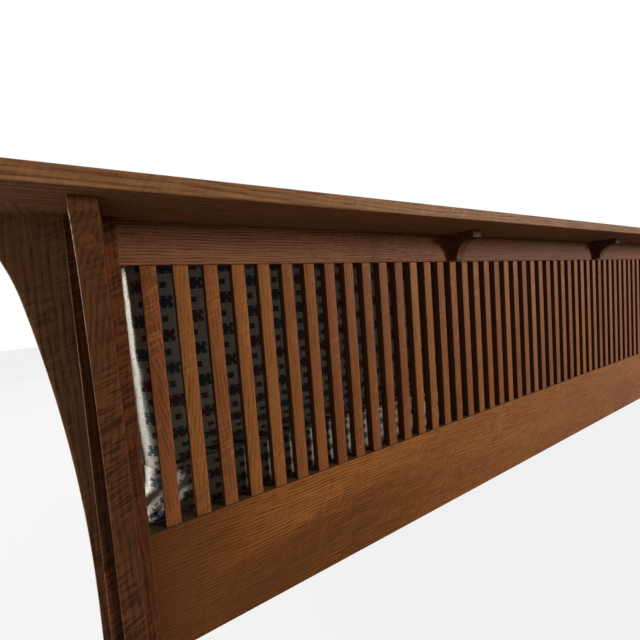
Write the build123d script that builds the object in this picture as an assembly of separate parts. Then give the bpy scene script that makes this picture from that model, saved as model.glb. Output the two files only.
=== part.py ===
from build123d import *
import math
import os

# A mission settle in quartered oak: slatted back and sides between square posts, a flat shelf and arms
# carried on long and short corbels, a slatted seat deck, and six loose cushions.
# Millimetres. X runs along the settle, the front faces -Y, Z is up. The origin is on the floor, at the middle
# of the outline. Left and right are as seen by someone who stands in front of it.

os.makedirs("parts", exist_ok=True)

# Slatted panels
back_slat_count = 48
side_slat_count = 18
back_bay_count = 3
slat_width = 18.6
slat_gap = 19.5
slat_thickness = 16.5
slat_easing = 1.0
slat_tenon_length = 10.0
slat_tenon_shoulder = 2.5

# Posts and rails
post_side = 50.0
post_easing = 1.8
post_foot_chamfer = 1.5
rail_thickness = 24.0
rail_easing = 1.2
top_rail_height = 54.0
lower_rail_height = 164.0
lower_rail_bottom = 164.0
rail_tenon_thickness = 10.0
rail_tenon_shoulder = 12.0
rail_tenon_corner_gap = 3.0
mortise_end_gap = 1.0

# Shelf and arms
shelf_top_height = 737.0
shelf_thickness = 18.0
shelf_easing = 2.0
shelf_overhang = 99.0
arm_front_overhang = 29.0
spline_length = 110.0
spline_width = 30.0
spline_thickness = 4.0
spline_start = 75.0
spline_fit = 0.1
mitre_angle = 45.0
post_dowel_diameter = 10.0
post_dowel_length = 22.0
post_dowel_offset = 11.0
shelf_block_length = 60.0
shelf_block_setback = 1.0
shelf_block_height = 20.0
back_shelf_block_count = 5
side_shelf_block_count = 2

# Corbels
corbel_thickness = 24.0
corbel_nose_height = 14.0
corbel_easing = 1.5
long_corbel_reach = 75.0
long_corbel_toe = 9.5
long_corbel_foot_length = 110.0
long_corbel_knee_drop = 90.0
long_corbel_knee_reach = 45.0
long_corbel_mid_drop = 214.0
long_corbel_mid_reach = 24.6
short_corbel_root = 15.5
short_corbel_cove = 38.0
short_corbel_lip = 1.5
back_corbel_spacing = 647.0

# Pegs, plugs, glides and screws
corbel_plug_diameter = 12.0
corbel_plug_drop = 39.0
corbel_plug_inner_reach = 46.0
peg_diameter = 8.0
peg_past_tenon = 6.0
peg_proud = 0.4
peg_inset = 7.5
peg_row_inset = 22.0
peg_fit = 0.05
glide_diameter = 24.0
glide_height = 5.0
glide_pin_diameter = 3.0
glide_pin_length = 14.0
screw_head_diameter = 8.0
screw_head_height = 3.2
screw_shank_diameter = 4.0
screw_fit = 0.05
deck_screw_bite = 20.0
ledger_screw_bite = 18.0
deck_gaps_per_screw_count = 3
block_screw_bite = 22.0

# Seat deck
deck_drop = 10.0
deck_slat_count = 20
deck_slat_width = 60.0
deck_slat_thickness = 18.0
deck_slat_easing = 2.0
deck_end_clearance = 1.0
deck_side_clearance = 5.0
ledger_width = 22.0
ledger_height = 30.0
stringer_width = 24.0
stringer_height = 60.0
stretcher_width = 24.0
stretcher_height = 70.0
stretcher_spacing = 620.0
stub_tenon_length = 8.0
stub_tenon_shoulder = 6.0
corner_block_leg = 70.0
corner_block_height = 50.0
corner_block_drop = 10.0

# Cushions
cushion_count = 3
cushion_clearance = 0.3
cushion_side_gap = 2.0
cushion_draw = 5.0
seat_front_proud = 2.7
seat_edge_height = 92.0
seat_rear_height = 76.0
seat_crown = 24.0
back_cushion_edge_thickness = 112.0
back_cushion_top_thickness = 92.0
back_cushion_rise = 21.0
back_cushion_front_crown = 26.0
back_cushion_rear_crown = 10.0
back_cushion_lean = 14.0
back_cushion_edge_round = 9.0

# Overrun of a cutting solid past the face it opens
overrun = 2.0

# Sizes and places that follow from those above
slat_pitch = slat_width + slat_gap
back_length = back_slat_count * slat_pitch + slat_gap
side_length = side_slat_count * slat_pitch + slat_gap
total_depth = shelf_overhang + side_length + 2 * post_side + arm_front_overhang
shelf_underside = shelf_top_height - shelf_thickness
top_rail_bottom = shelf_underside - top_rail_height
lower_rail_top = lower_rail_bottom + lower_rail_height
deck_height = lower_rail_top - deck_drop
post_inner_x = back_length / 2
post_mid_x = post_inner_x + post_side / 2
post_outer_x = post_inner_x + post_side
back_post_outer_y = total_depth / 2 - shelf_overhang
back_post_mid_y = back_post_outer_y - post_side / 2
back_post_inner_y = back_post_outer_y - post_side
front_post_outer_y = arm_front_overhang - total_depth / 2
front_post_mid_y = front_post_outer_y + post_side / 2
front_post_inner_y = front_post_outer_y + post_side
panel_mid_y = (back_post_inner_y + front_post_inner_y) / 2
rail_setback = (post_side - rail_thickness) / 2
rail_tenon_length = (post_side - rail_tenon_thickness) / 2 - rail_tenon_corner_gap
peg_depth = (post_side + rail_tenon_thickness) / 2 + peg_past_tenon
rail_face_x = post_mid_x - rail_thickness / 2
back_rail_face_y = back_post_mid_y - rail_thickness / 2
front_rail_face_y = front_post_mid_y + rail_thickness / 2
ledger_top = deck_height - deck_slat_thickness
ledger_bottom = ledger_top - ledger_height
deck_mid_y = (back_rail_face_y + front_rail_face_y) / 2
shelf_block_width = rail_setback - shelf_block_setback
deck_screw_length = deck_slat_thickness + deck_screw_bite
ledger_screw_length = ledger_width + ledger_screw_bite
corner_block_span = (corner_block_leg - rail_setback) / math.sqrt(2)
block_screw_length = corner_block_span + block_screw_bite


def centred_box(x_range, y_range, z_range):
    """A box from its lowest and highest place along each axis."""
    spans = [high - low for low, high in (x_range, y_range, z_range)]
    mids = [(high + low) / 2 for low, high in (x_range, y_range, z_range)]
    return Pos(*mids) * Box(*spans)


def bar_along_x(x_range, y_mid, z_range, depth, easing):
    """A bar along X with eased long edges."""
    height = z_range[1] - z_range[0]
    section = Pos(y_mid, sum(z_range) / 2) * RectangleRounded(depth, height, easing)
    return extrude(Plane.YZ.offset(x_range[0]) * section, amount=x_range[1] - x_range[0])


def bar_along_y(x_mid, y_range, z_range, width, easing):
    """A bar along Y with eased long edges."""
    height = z_range[1] - z_range[0]
    section = Pos(x_mid, sum(z_range) / 2) * RectangleRounded(width, height, easing)
    return extrude(Plane.XZ.offset(-y_range[0]) * section, amount=y_range[0] - y_range[1])


def bar_along_z(x_mid, y_mid, z_range, width, depth, easing):
    """A bar along Z with eased long edges."""
    section = Pos(x_mid, y_mid) * RectangleRounded(width, depth, easing)
    return extrude(Plane.XY.offset(z_range[0]) * section, amount=z_range[1] - z_range[0])


def rod(start, direction, length, diameter):
    """A round rod from a point, along a direction."""
    section = Plane(origin=start, z_dir=direction) * Circle(diameter / 2)
    return extrude(section, amount=length)


def grouped(solids):
    """Several solids that share one node."""
    return Compound(children=list(solids))


# Pegs: a place for each, with the face it is driven through
def rail_peg_heights(z_range, rows):
    """The heights of a rail's pegs: one in the middle, or one near each edge."""
    if rows == 1:
        return [sum(z_range) / 2]
    return [z_range[0] + peg_row_inset, z_range[1] - peg_row_inset]


top_rail_range = (top_rail_bottom, shelf_underside)
lower_rail_range = (lower_rail_bottom, lower_rail_top)
front_rail_range = (lower_rail_bottom, deck_height)
back_peg_heights = rail_peg_heights(top_rail_range, 1) + rail_peg_heights(lower_rail_range, 2)
front_peg_heights = rail_peg_heights(front_rail_range, 2)


def back_peg_starts(side):
    """Where the back rails' pegs enter one back post."""
    x = side * (post_inner_x + peg_inset)
    return [((x, back_post_outer_y, z), (0, -1, 0)) for z in back_peg_heights]


def front_peg_starts(side):
    """Where the front rail's pegs enter one front post."""
    x = side * (post_inner_x + peg_inset)
    return [((x, front_post_outer_y, z), (0, 1, 0)) for z in front_peg_heights]


def side_peg_starts(side):
    """Where one side panel's pegs enter its two posts."""
    places = [back_post_inner_y + peg_inset, front_post_inner_y - peg_inset]
    return [((side * post_outer_x, y, z), (-side, 0, 0)) for y in places for z in back_peg_heights]


def peg(start, direction):
    """A peg with an eased outer end, a little proud of the post."""
    nose = Vector(*start) - Vector(*direction) * peg_proud
    pin = rod(tuple(nose), direction, peg_depth + peg_proud, peg_diameter)
    end = pin.faces().sort_by(Axis(start, direction))[0]
    return chamfer(end.edges(), peg_proud / 2)


def peg_hole(start, direction):
    """The hole that a peg fills."""
    mouth = Vector(*start) - Vector(*direction) * overrun
    bore = peg_diameter + 2 * peg_fit
    return rod(tuple(mouth), direction, peg_depth + overrun + peg_fit, bore)


def all_peg_holes():
    """Every peg hole of the settle, for the pieces that they pass through."""
    starts = []
    for side in (-1, 1):
        starts += back_peg_starts(side) + front_peg_starts(side) + side_peg_starts(side)
    return [peg_hole(start, direction) for start, direction in starts]


def holes_near(holes, piece):
    """The holes whose boxes meet a piece's box."""
    box = piece.bounding_box()
    met = []
    for hole in holes:
        other = hole.bounding_box()
        apart = [
            other.min.X > box.max.X or other.max.X < box.min.X,
            other.min.Y > box.max.Y or other.max.Y < box.min.Y,
            other.min.Z > box.max.Z or other.max.Z < box.min.Z,
        ]
        if not any(apart):
            met.append(hole)
    return met


peg_holes = all_peg_holes()


# Rails, with their tenons
def tenon_heights(z_range):
    """A rail tenon's lowest and highest place."""
    return (z_range[0] + rail_tenon_shoulder, z_range[1] - rail_tenon_shoulder)


def tenon_walls(middle):
    """A rail tenon's two faces."""
    return (middle - rail_tenon_thickness / 2, middle + rail_tenon_thickness / 2)


def long_rail(y_mid, z_range):
    """A rail along the settle, tenoned into two posts."""
    rail = bar_along_x((-post_inner_x, post_inner_x), y_mid, z_range, rail_thickness, rail_easing)
    reach = post_inner_x + rail_tenon_length
    tenon = centred_box((-reach, reach), tenon_walls(y_mid), tenon_heights(z_range))
    rail = rail + tenon
    return rail - holes_near(peg_holes, rail)


def side_rail(side, z_range):
    """A rail from front to back, tenoned into two posts."""
    x_mid = side * post_mid_x
    y_range = (front_post_inner_y, back_post_inner_y)
    rail = bar_along_y(x_mid, y_range, z_range, rail_thickness, rail_easing)
    y_reach = (y_range[0] - rail_tenon_length, y_range[1] + rail_tenon_length)
    rail = rail + centred_box(tenon_walls(x_mid), y_reach, tenon_heights(z_range))
    return rail - holes_near(peg_holes, rail)


def rail_mortises(side, is_back):
    """The mortises that one post has for its long and side rails."""
    reach = rail_tenon_length + mortise_end_gap
    y_mid = back_post_mid_y if is_back else front_post_mid_y
    y_face = back_post_inner_y if is_back else front_post_inner_y
    y_turn = 1 if is_back else -1
    x_span = sorted((side * (post_inner_x - overrun), side * (post_inner_x + reach)))
    y_span = sorted((y_face - y_turn * overrun, y_face + y_turn * reach))
    long_ranges = [top_rail_range, lower_rail_range] if is_back else [front_rail_range]
    cuts = [centred_box(x_span, tenon_walls(y_mid), tenon_heights(z)) for z in long_ranges]
    side_ranges = [top_rail_range, lower_rail_range]
    cuts += [centred_box(tenon_walls(side * post_mid_x), y_span, tenon_heights(z)) for z in side_ranges]
    return cuts


# Slats, housed in the rails by small tenons
def slat_places(count, middle):
    """The middles of a panel's slats."""
    first = middle - (count - 1) * slat_pitch / 2
    return [first + index * slat_pitch for index in range(count)]


def slat_shape(width, depth):
    """A slat that stands at X and Y zero."""
    body = bar_along_z(0, 0, (lower_rail_top, top_rail_bottom), width, depth, slat_easing)
    tongue_x = width / 2 - slat_tenon_shoulder
    tongue_y = depth / 2 - slat_tenon_shoulder
    z_reach = (lower_rail_top - slat_tenon_length, top_rail_bottom + slat_tenon_length)
    return body + centred_box((-tongue_x, tongue_x), (-tongue_y, tongue_y), z_reach)


def slat_mortise(width, depth, z_face, direction):
    """One slat's mortise in a rail, at X and Y zero."""
    half_x = width / 2 - slat_tenon_shoulder
    half_y = depth / 2 - slat_tenon_shoulder
    reach = slat_tenon_length + mortise_end_gap
    z_span = sorted((z_face - direction * overrun, z_face + direction * reach))
    return centred_box((-half_x, half_x), (-half_y, half_y), z_span)


back_slat_places = slat_places(back_slat_count, 0)
side_slat_places = slat_places(side_slat_count, panel_mid_y)


def with_back_mortises(rail, z_face, direction):
    """A back rail with the mortises of its slats."""
    cut = slat_mortise(slat_width, slat_thickness, z_face, direction)
    return rail - [Pos(x, back_post_mid_y, 0) * cut for x in back_slat_places]


def with_side_mortises(rail, side, z_face, direction):
    """A side rail with the mortises of its slats."""
    cut = slat_mortise(slat_thickness, slat_width, z_face, direction)
    return rail - [Pos(side * post_mid_x, y, 0) * cut for y in side_slat_places]


def back_slat_bay(index):
    """One bay of back slats; the last bay takes what is left over."""
    per_bay = back_slat_count // back_bay_count
    first = index * per_bay
    last = back_slat_count if index == back_bay_count - 1 else first + per_bay
    slat = slat_shape(slat_width, slat_thickness)
    return grouped(Pos(x, back_post_mid_y, 0) * slat for x in back_slat_places[first:last])


def side_slats(side):
    """The slats of one side panel."""
    slat = slat_shape(slat_thickness, slat_width)
    return grouped(Pos(side * post_mid_x, y, 0) * slat for y in side_slat_places)


# Dowels between the posts and the boards they carry
def post_dowel_places():
    """Each dowel's place: two over a back post, one on each side of the mitre, and one over a front post."""
    places = []
    for side in (-1, 1):
        near = side * (post_mid_x - post_dowel_offset)
        far = side * (post_mid_x + post_dowel_offset)
        places.append((near, back_post_mid_y + post_dowel_offset))
        places.append((far, back_post_mid_y - post_dowel_offset))
        places.append((side * post_mid_x, front_post_mid_y))
    return places


def post_dowels(extra_length, extra_diameter):
    """The dowels, or with extra size the holes that they fill."""
    length = post_dowel_length + extra_length
    low = shelf_underside - length / 2
    size = post_dowel_diameter + extra_diameter
    return [rod((x, y, low), (0, 0, 1), length, size) for x, y in post_dowel_places()]


dowel_holes = post_dowels(mortise_end_gap, 2 * peg_fit)


# Posts and glides
def post(side, is_back):
    """A square post with an eased foot and all its mortises and holes."""
    y_mid = back_post_mid_y if is_back else front_post_mid_y
    x_mid = side * post_mid_x
    z_range = (glide_height, shelf_underside)
    column = bar_along_z(x_mid, y_mid, z_range, post_side, post_side, post_easing)
    foot = column.faces().sort_by(Axis.Z)[0]
    column = chamfer(foot.edges(), post_foot_chamfer)
    pin_hole = rod((x_mid, y_mid, 0), (0, 0, 1), glide_height + glide_pin_length, glide_pin_diameter)
    cuts = rail_mortises(side, is_back) + [pin_hole]
    cuts += holes_near(peg_holes, column) + holes_near(dowel_holes, column)
    return column - cuts


def glide(side, y_mid):
    """A nail-on glide under one post."""
    pad = Pos(side * post_mid_x, y_mid, glide_height / 2) * Cylinder(glide_diameter / 2, glide_height)
    pad = chamfer(pad.faces().sort_by(Axis.Z)[0].edges(), glide_height / 4)
    pin = rod((side * post_mid_x, y_mid, 0), (0, 0, 1), glide_height + glide_pin_length, glide_pin_diameter)
    return pad + pin


# Shelf and arm boards, mitred at the back corners
def board(points):
    """A board with the given outline, before its edges are eased."""
    outline = Plane.XY.offset(shelf_underside) * make_face(Polyline(*points, close=True))
    return extrude(outline, amount=shelf_thickness)


def spline_solid(side, extra):
    """The loose tongue across one mitre, or with extra size its slot."""
    along = spline_start + spline_length / 2
    x = side * (post_inner_x + along * math.sin(math.radians(mitre_angle)))
    y = back_post_inner_y + along * math.cos(math.radians(mitre_angle))
    tongue = Box(spline_length + extra, spline_width + extra, spline_thickness)
    return Pos(x, y, shelf_top_height - shelf_thickness / 2) * Rot(0, 0, side * mitre_angle) * tongue


def back_shelf():
    """The shelf along the back, with a mitre at each end."""
    outer_x = post_outer_x + shelf_overhang
    outer_y = back_post_outer_y + shelf_overhang
    points = [
        (-outer_x, outer_y),
        (outer_x, outer_y),
        (post_inner_x, back_post_inner_y),
        (-post_inner_x, back_post_inner_y),
    ]
    shelf = board(points)
    shelf = fillet(shelf.edges().filter_by(Axis.X), shelf_easing)
    slots = [spline_solid(side, spline_fit) for side in (-1, 1)]
    return shelf - (slots + holes_near(dowel_holes, shelf))


def arm_board(side):
    """One arm, with its mitre at the back."""
    outer_x = side * (post_outer_x + shelf_overhang)
    inner_x = side * post_inner_x
    front_y = -total_depth / 2
    points = [
        (inner_x, front_y),
        (outer_x, front_y),
        (outer_x, back_post_outer_y + shelf_overhang),
        (inner_x, back_post_inner_y),
    ]
    arm = board(points)
    front_edges = arm.edges().filter_by(Axis.X) + arm.edges().filter_by(Axis.Z).group_by(Axis.Y)[0]
    arm = fillet(arm.edges().filter_by(Axis.Y) + front_edges, shelf_easing)
    return arm - ([spline_solid(side, spline_fit)] + holes_near(dowel_holes, arm))


def shelf_blocks():
    """Glue blocks that hold the boards to the top rails."""
    z_range = (shelf_underside - shelf_block_height, shelf_underside)
    blocks = []
    for index in range(back_shelf_block_count):
        x = back_length * ((index + 1) / (back_shelf_block_count + 1) - 1 / 2)
        x_range = (x - shelf_block_length / 2, x + shelf_block_length / 2)
        y_range = (back_rail_face_y - shelf_block_width, back_rail_face_y)
        blocks.append(centred_box(x_range, y_range, z_range))
    for side in (-1, 1):
        for index in range(side_shelf_block_count):
            y = front_post_inner_y + side_length * (index + 1) / (side_shelf_block_count + 1)
            x_range = sorted((side * rail_face_x, side * (rail_face_x - shelf_block_width)))
            y_range = (y - shelf_block_length / 2, y + shelf_block_length / 2)
            blocks.append(centred_box(x_range, y_range, z_range))
    return grouped(blocks)


# Corbels: drawn with the reach along X and the drop below the shelf along -Y
def long_corbel_outline():
    """A long corbel: blunt nose, a quick bend, then one slow sweep down to a thin toe."""
    full_drop = shelf_underside - lower_rail_bottom
    nose = (long_corbel_reach, -corbel_nose_height)
    knee = (long_corbel_knee_reach, -long_corbel_knee_drop)
    middle = (long_corbel_mid_reach, -long_corbel_mid_drop)
    sweep_end = (long_corbel_toe, long_corbel_foot_length - full_drop)
    sweep = ThreePointArc(sweep_end, middle, knee)
    bend = TangentArc(knee, nose, tangent=sweep % 1)
    top = Polyline(nose, (long_corbel_reach, 0), (0, 0), (0, -full_drop))
    toe = Polyline((0, -full_drop), (long_corbel_toe, -full_drop), sweep_end)
    return make_face(sweep + bend + top + toe)


def short_corbel_outline():
    """A short corbel: blunt nose and a quarter-round cove."""
    cove_start = (short_corbel_root + short_corbel_cove, -corbel_nose_height)
    cove_end = (short_corbel_root, -corbel_nose_height - short_corbel_cove)
    cove_slack = short_corbel_cove * (1 - math.sqrt(1 / 2))
    cove_middle = (short_corbel_root + cove_slack, -corbel_nose_height - cove_slack)
    cove = ThreePointArc(cove_start, cove_middle, cove_end)
    reach = cove_start[0] + short_corbel_lip
    nose = Polyline((0, 0), (reach, 0), (reach, -corbel_nose_height), cove_start)
    root = Polyline(cove_end, (0, cove_end[1]), (0, 0))
    return make_face(cove + nose + root)


def corbel_solid(outline):
    """A corbel lying on its side, its edges eased but for those against the post or rail and the shelf."""
    flat = extrude(outline, amount=corbel_thickness / 2, both=True)
    free = []
    for edge in flat.edges():
        middle = edge.center()
        if middle.X > corbel_easing and middle.Y < -corbel_easing and abs(middle.Z) > corbel_easing:
            free.append(edge)
    return fillet(free, corbel_easing)


def plug_rod(extra):
    """The rod that a long corbel's plug is cut from, or with extra size its hole."""
    start = corbel_plug_inner_reach - extra
    place = (start, -corbel_plug_drop, 0)
    return rod(place, (1, 0, 0), long_corbel_reach - start, corbel_plug_diameter + 2 * extra)


def outward_piece(piece, side, y_mid, x_face):
    """A corbel or its plug on a side of the settle."""
    plane = Plane(origin=(side * x_face, y_mid, shelf_underside), x_dir=(side, 0, 0), z_dir=(0, -side, 0))
    return plane.location * piece


def rearward_piece(piece, x_mid, y_face):
    """A corbel or its plug on the back of the settle."""
    plane = Plane(origin=(x_mid, y_face, shelf_underside), x_dir=(0, 1, 0), z_dir=(1, 0, 0))
    return plane.location * piece


# Screws
def screw_profile(length, extra):
    """Half of a countersunk screw's section, head up, with extra size for its hole."""
    head = screw_head_diameter / 2 + extra
    shank = screw_shank_diameter / 2 + extra
    points = [(0, 0), (head, 0), (shank, -screw_head_height), (shank, -length - extra), (0, -length - extra)]
    return make_face(Plane.XZ * Polyline(*points, close=True))


def screw_solid(place, direction, length, extra=0.0):
    """A screw whose head is flush at a place, driven along a direction."""
    upright = revolve(screw_profile(length, extra), axis=Axis.Z)
    back = tuple(-Vector(*direction))
    return Plane(origin=place, z_dir=back).location * upright


# Seat deck
def deck_slat_places():
    """The middles of the deck slats along the settle."""
    first = deck_side_clearance + deck_slat_width / 2 - post_inner_x
    step = -2 * first / (deck_slat_count - 1)
    return [first + index * step for index in range(deck_slat_count)]


deck_slat_ends = (front_rail_face_y + deck_end_clearance, back_rail_face_y - deck_end_clearance)
ledger_mid_ys = (front_rail_face_y + ledger_width / 2, back_rail_face_y - ledger_width / 2)
deck_gap_middles = [(left + right) / 2 for left, right in zip(deck_slat_places(), deck_slat_places()[1:])]


def ledger_screw_places(is_back):
    """The heads of one ledger's screws, and their direction. They go in between deck slats."""
    turn = 1 if is_back else -1
    face = (back_rail_face_y if is_back else front_rail_face_y) - turn * ledger_width
    z = ledger_bottom + ledger_height / 3
    return [((x, face, z), (0, turn, 0)) for x in deck_gap_middles[::deck_gaps_per_screw_count]]


def corner_screw_places(side, is_back):
    """The heads of one corner block's two screws, and their direction into the post."""
    turn = 1 if is_back else -1
    corner_y = back_post_inner_y if is_back else front_post_inner_y
    step = corner_block_span / math.sqrt(2)
    x = side * (post_inner_x - step)
    y = corner_y - turn * step
    low, high = corner_block_range
    heights = [low + (high - low) / 4, high - (high - low) / 4]
    return [((x, y, z), (side, turn, 0)) for z in heights]


def screws(places, length, extra=0.0):
    """The screws of a list of places, or with extra size their holes."""
    return [screw_solid(place, direction, length, extra) for place, direction in places]


corner_block_high = ledger_bottom - corner_block_drop
corner_block_range = (corner_block_high - corner_block_height, corner_block_high)
corners = [(side, is_back) for side in (-1, 1) for is_back in (False, True)]
deck_screw_places = [((x, y, deck_height), (0, 0, -1)) for x in deck_slat_places() for y in ledger_mid_ys]
all_ledger_screw_places = ledger_screw_places(False) + ledger_screw_places(True)
all_corner_screw_places = [place for corner in corners for place in corner_screw_places(*corner)]
screw_holes = screws(deck_screw_places, deck_screw_length, screw_fit)
screw_holes += screws(all_ledger_screw_places, ledger_screw_length, screw_fit)
screw_holes += screws(all_corner_screw_places, block_screw_length, screw_fit)


def deck_slats():
    """The slats that carry the seat cushions."""
    slats = []
    for x in deck_slat_places():
        z_range = (ledger_top, deck_height)
        slat = bar_along_y(x, deck_slat_ends, z_range, deck_slat_width, deck_slat_easing)
        slats.append(slat - holes_near(screw_holes, slat))
    return grouped(slats)


def ledger(is_back):
    """The ledger that carries the deck slats' front or back ends."""
    y_mid = ledger_mid_ys[1] if is_back else ledger_mid_ys[0]
    reach = post_inner_x - deck_end_clearance
    strip = bar_along_x((-reach, reach), y_mid, (ledger_bottom, ledger_top), ledger_width, rail_easing)
    return strip - holes_near(screw_holes, strip)


stretcher_range = (ledger_bottom - stretcher_height, ledger_bottom)
stringer_range = (ledger_top - stringer_height, ledger_top)
lap_height = (stretcher_range[1] + stringer_range[0]) / 2


def cross_stretcher(side):
    """A stretcher under the deck from front rail to back rail, notched for the stringer."""
    x = side * stretcher_spacing / 2
    y_range = (front_rail_face_y, back_rail_face_y)
    piece = bar_along_y(x, y_range, stretcher_range, stretcher_width, rail_easing)
    half = stretcher_width / 2 - stub_tenon_shoulder
    tenon_z = (stretcher_range[0] + stub_tenon_shoulder, stretcher_range[1] - stub_tenon_shoulder)
    tenon_y = (y_range[0] - stub_tenon_length, y_range[1] + stub_tenon_length)
    piece = piece + centred_box((x - half, x + half), tenon_y, tenon_z)
    notch_x = (x - stretcher_width, x + stretcher_width)
    notch_y = (deck_mid_y - stringer_width / 2, deck_mid_y + stringer_width / 2)
    return piece - centred_box(notch_x, notch_y, (lap_height, stretcher_range[1] + overrun))


def deck_stringer():
    """The stringer under the middle of the deck, from side rail to side rail, notched for the stretchers."""
    piece = bar_along_x((-rail_face_x, rail_face_x), deck_mid_y, stringer_range, stringer_width, rail_easing)
    half = stringer_width / 2 - stub_tenon_shoulder
    tenon_z = (stringer_range[0] + stub_tenon_shoulder, stringer_range[1] - stub_tenon_shoulder)
    reach = rail_face_x + stub_tenon_length
    piece = piece + centred_box((-reach, reach), (deck_mid_y - half, deck_mid_y + half), tenon_z)
    notch_y = (deck_mid_y - stringer_width, deck_mid_y + stringer_width)
    for side in (-1, 1):
        x = side * stretcher_spacing / 2
        notch_x = (x - stretcher_width / 2, x + stretcher_width / 2)
        piece = piece - centred_box(notch_x, notch_y, (stringer_range[0] - overrun, lap_height))
    return piece


def stretcher_mortises(y_face, direction):
    """The stub mortises that a long rail has for the cross stretchers."""
    half = stretcher_width / 2 - stub_tenon_shoulder
    z_range = (stretcher_range[0] + stub_tenon_shoulder, stretcher_range[1] - stub_tenon_shoulder)
    depth = stub_tenon_length + mortise_end_gap
    y_span = sorted((y_face - direction * overrun, y_face + direction * depth))
    places = [side * stretcher_spacing / 2 for side in (-1, 1)]
    return [centred_box((x - half, x + half), y_span, z_range) for x in places]


def stringer_mortise(side):
    """The stub mortise that a side rail has for the stringer."""
    half = stringer_width / 2 - stub_tenon_shoulder
    z_range = (stringer_range[0] + stub_tenon_shoulder, stringer_range[1] - stub_tenon_shoulder)
    reach = rail_face_x + stub_tenon_length + mortise_end_gap
    x_span = sorted((side * (rail_face_x - overrun), side * reach))
    return centred_box(x_span, (deck_mid_y - half, deck_mid_y + half), z_range)


def corner_block(side, is_back):
    """A block across an inner corner, notched round the post."""
    turn = 1 if is_back else -1
    rail_y = back_rail_face_y if is_back else front_rail_face_y
    inner_y = back_post_inner_y if is_back else front_post_inner_y
    points = [
        (side * (post_inner_x - corner_block_leg), rail_y),
        (side * post_inner_x, rail_y),
        (side * post_inner_x, inner_y),
        (side * rail_face_x, inner_y),
        (side * rail_face_x, inner_y - turn * corner_block_leg),
    ]
    outline = Plane.XY.offset(corner_block_range[0]) * make_face(Polyline(*points, close=True))
    block = extrude(outline, amount=corner_block_height)
    return block - holes_near(screw_holes, block)


# Cushions: each is a loft of sections made of two straight sides and two shallow arcs
cushion_pitch = (back_length - cushion_side_gap) / cushion_count
cushion_width = cushion_pitch - cushion_side_gap
cushion_places = [(index - (cushion_count - 1) / 2) * cushion_pitch for index in range(cushion_count)]
seat_bottom = deck_height + cushion_clearance
seat_front_y = front_post_outer_y - seat_front_proud
seat_back_y = back_rail_face_y - cushion_clearance
back_cushion_bottom = seat_bottom + seat_rear_height + cushion_clearance
back_cushion_top = shelf_top_height + back_cushion_rise
back_cushion_rear_y = seat_back_y - back_cushion_rear_crown

# Each row: how far along the cushion, share of the front's extra height, of the crown, and of the draw
seat_form_shares = [
    (0.0, 0.45, 0.12, 0.0),
    (0.05, 0.9, 0.45, 0.0),
    (0.18, 1.0, 0.85, 0.5),
    (0.42, 1.0, 1.0, 1.0),
    (0.62, 0.75, 0.6, 0.8),
    (0.76, 0.25, 0.12, 0.4),
    (0.86, 0.0, 0.04, 0.1),
    (1.0, 0.0, 0.03, 0.0),
]
# Each row: how far up the cushion, share of the crowns, of the draw, and of the edge's rounding
back_form_shares = [
    (0.0, 0.1, 0.1, 1.0),
    (0.05, 0.5, 0.25, 0.1),
    (0.25, 0.9, 0.75, 0.0),
    (0.5, 1.0, 1.0, 0.0),
    (0.78, 0.8, 0.7, 0.0),
    (0.94, 0.45, 0.25, 0.1),
    (1.0, 0.1, 0.1, 1.0),
]


def section_with_arcs(half_width, low, high, low_crown, high_crown):
    """A face with straight sides and crowned low and high edges, drawn round X zero."""
    top = ThreePointArc((-half_width, high), (0, high + high_crown), (half_width, high))
    right = Line((half_width, high), (half_width, low))
    if low_crown == 0:
        bottom = Line((half_width, low), (-half_width, low))
    else:
        bottom = ThreePointArc((half_width, low), (0, low - low_crown), (-half_width, low))
    left = Line((-half_width, low), (-half_width, high))
    return make_face(top + right + bottom + left)


def drawn_in_cut(x_mid, y_face, direction):
    """What is cut from a cushion's end so that it is drawn in between its corners."""
    half = cushion_pitch / 2
    clear = cushion_draw * 2
    arc = ThreePointArc((-half, 0), (0, cushion_draw), (half, 0))
    frame_lines = Polyline((half, 0), (half, -clear), (-half, -clear), (-half, 0))
    outline = make_face(arc + frame_lines)
    if direction < 0:
        outline = mirror(outline, about=Plane.XZ)
    tall = seat_edge_height + 2 * seat_crown
    return Pos(x_mid, y_face, seat_bottom - overrun) * extrude(outline, amount=tall)


def seat_cushion(x_mid):
    """A seat cushion: crowned where it is sat on, pressed flat under the back cushion."""
    depth = seat_back_y - seat_front_y
    extra = seat_edge_height - seat_rear_height
    sections = []
    for along, extra_share, crown_share, draw_share in seat_form_shares:
        half = cushion_width / 2 - cushion_draw * draw_share
        high = seat_rear_height - cushion_clearance + extra * extra_share
        face = section_with_arcs(half, 0, high, 0, seat_crown * crown_share)
        origin = (x_mid, seat_front_y + depth * along, seat_bottom)
        sections.append(Plane(origin=origin, x_dir=(-1, 0, 0), z_dir=(0, 1, 0)) * face)
    body = loft(sections)
    rest_front = back_cushion_rear_y - back_cushion_edge_thickness - back_cushion_front_crown - cushion_draw
    top = seat_bottom + seat_rear_height
    x_span = (x_mid - cushion_pitch / 2, x_mid + cushion_pitch / 2)
    press = centred_box(x_span, (rest_front, seat_back_y + overrun), (top, top + seat_crown + overrun))
    return body - [press, drawn_in_cut(x_mid, seat_front_y, 1)]


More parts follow.
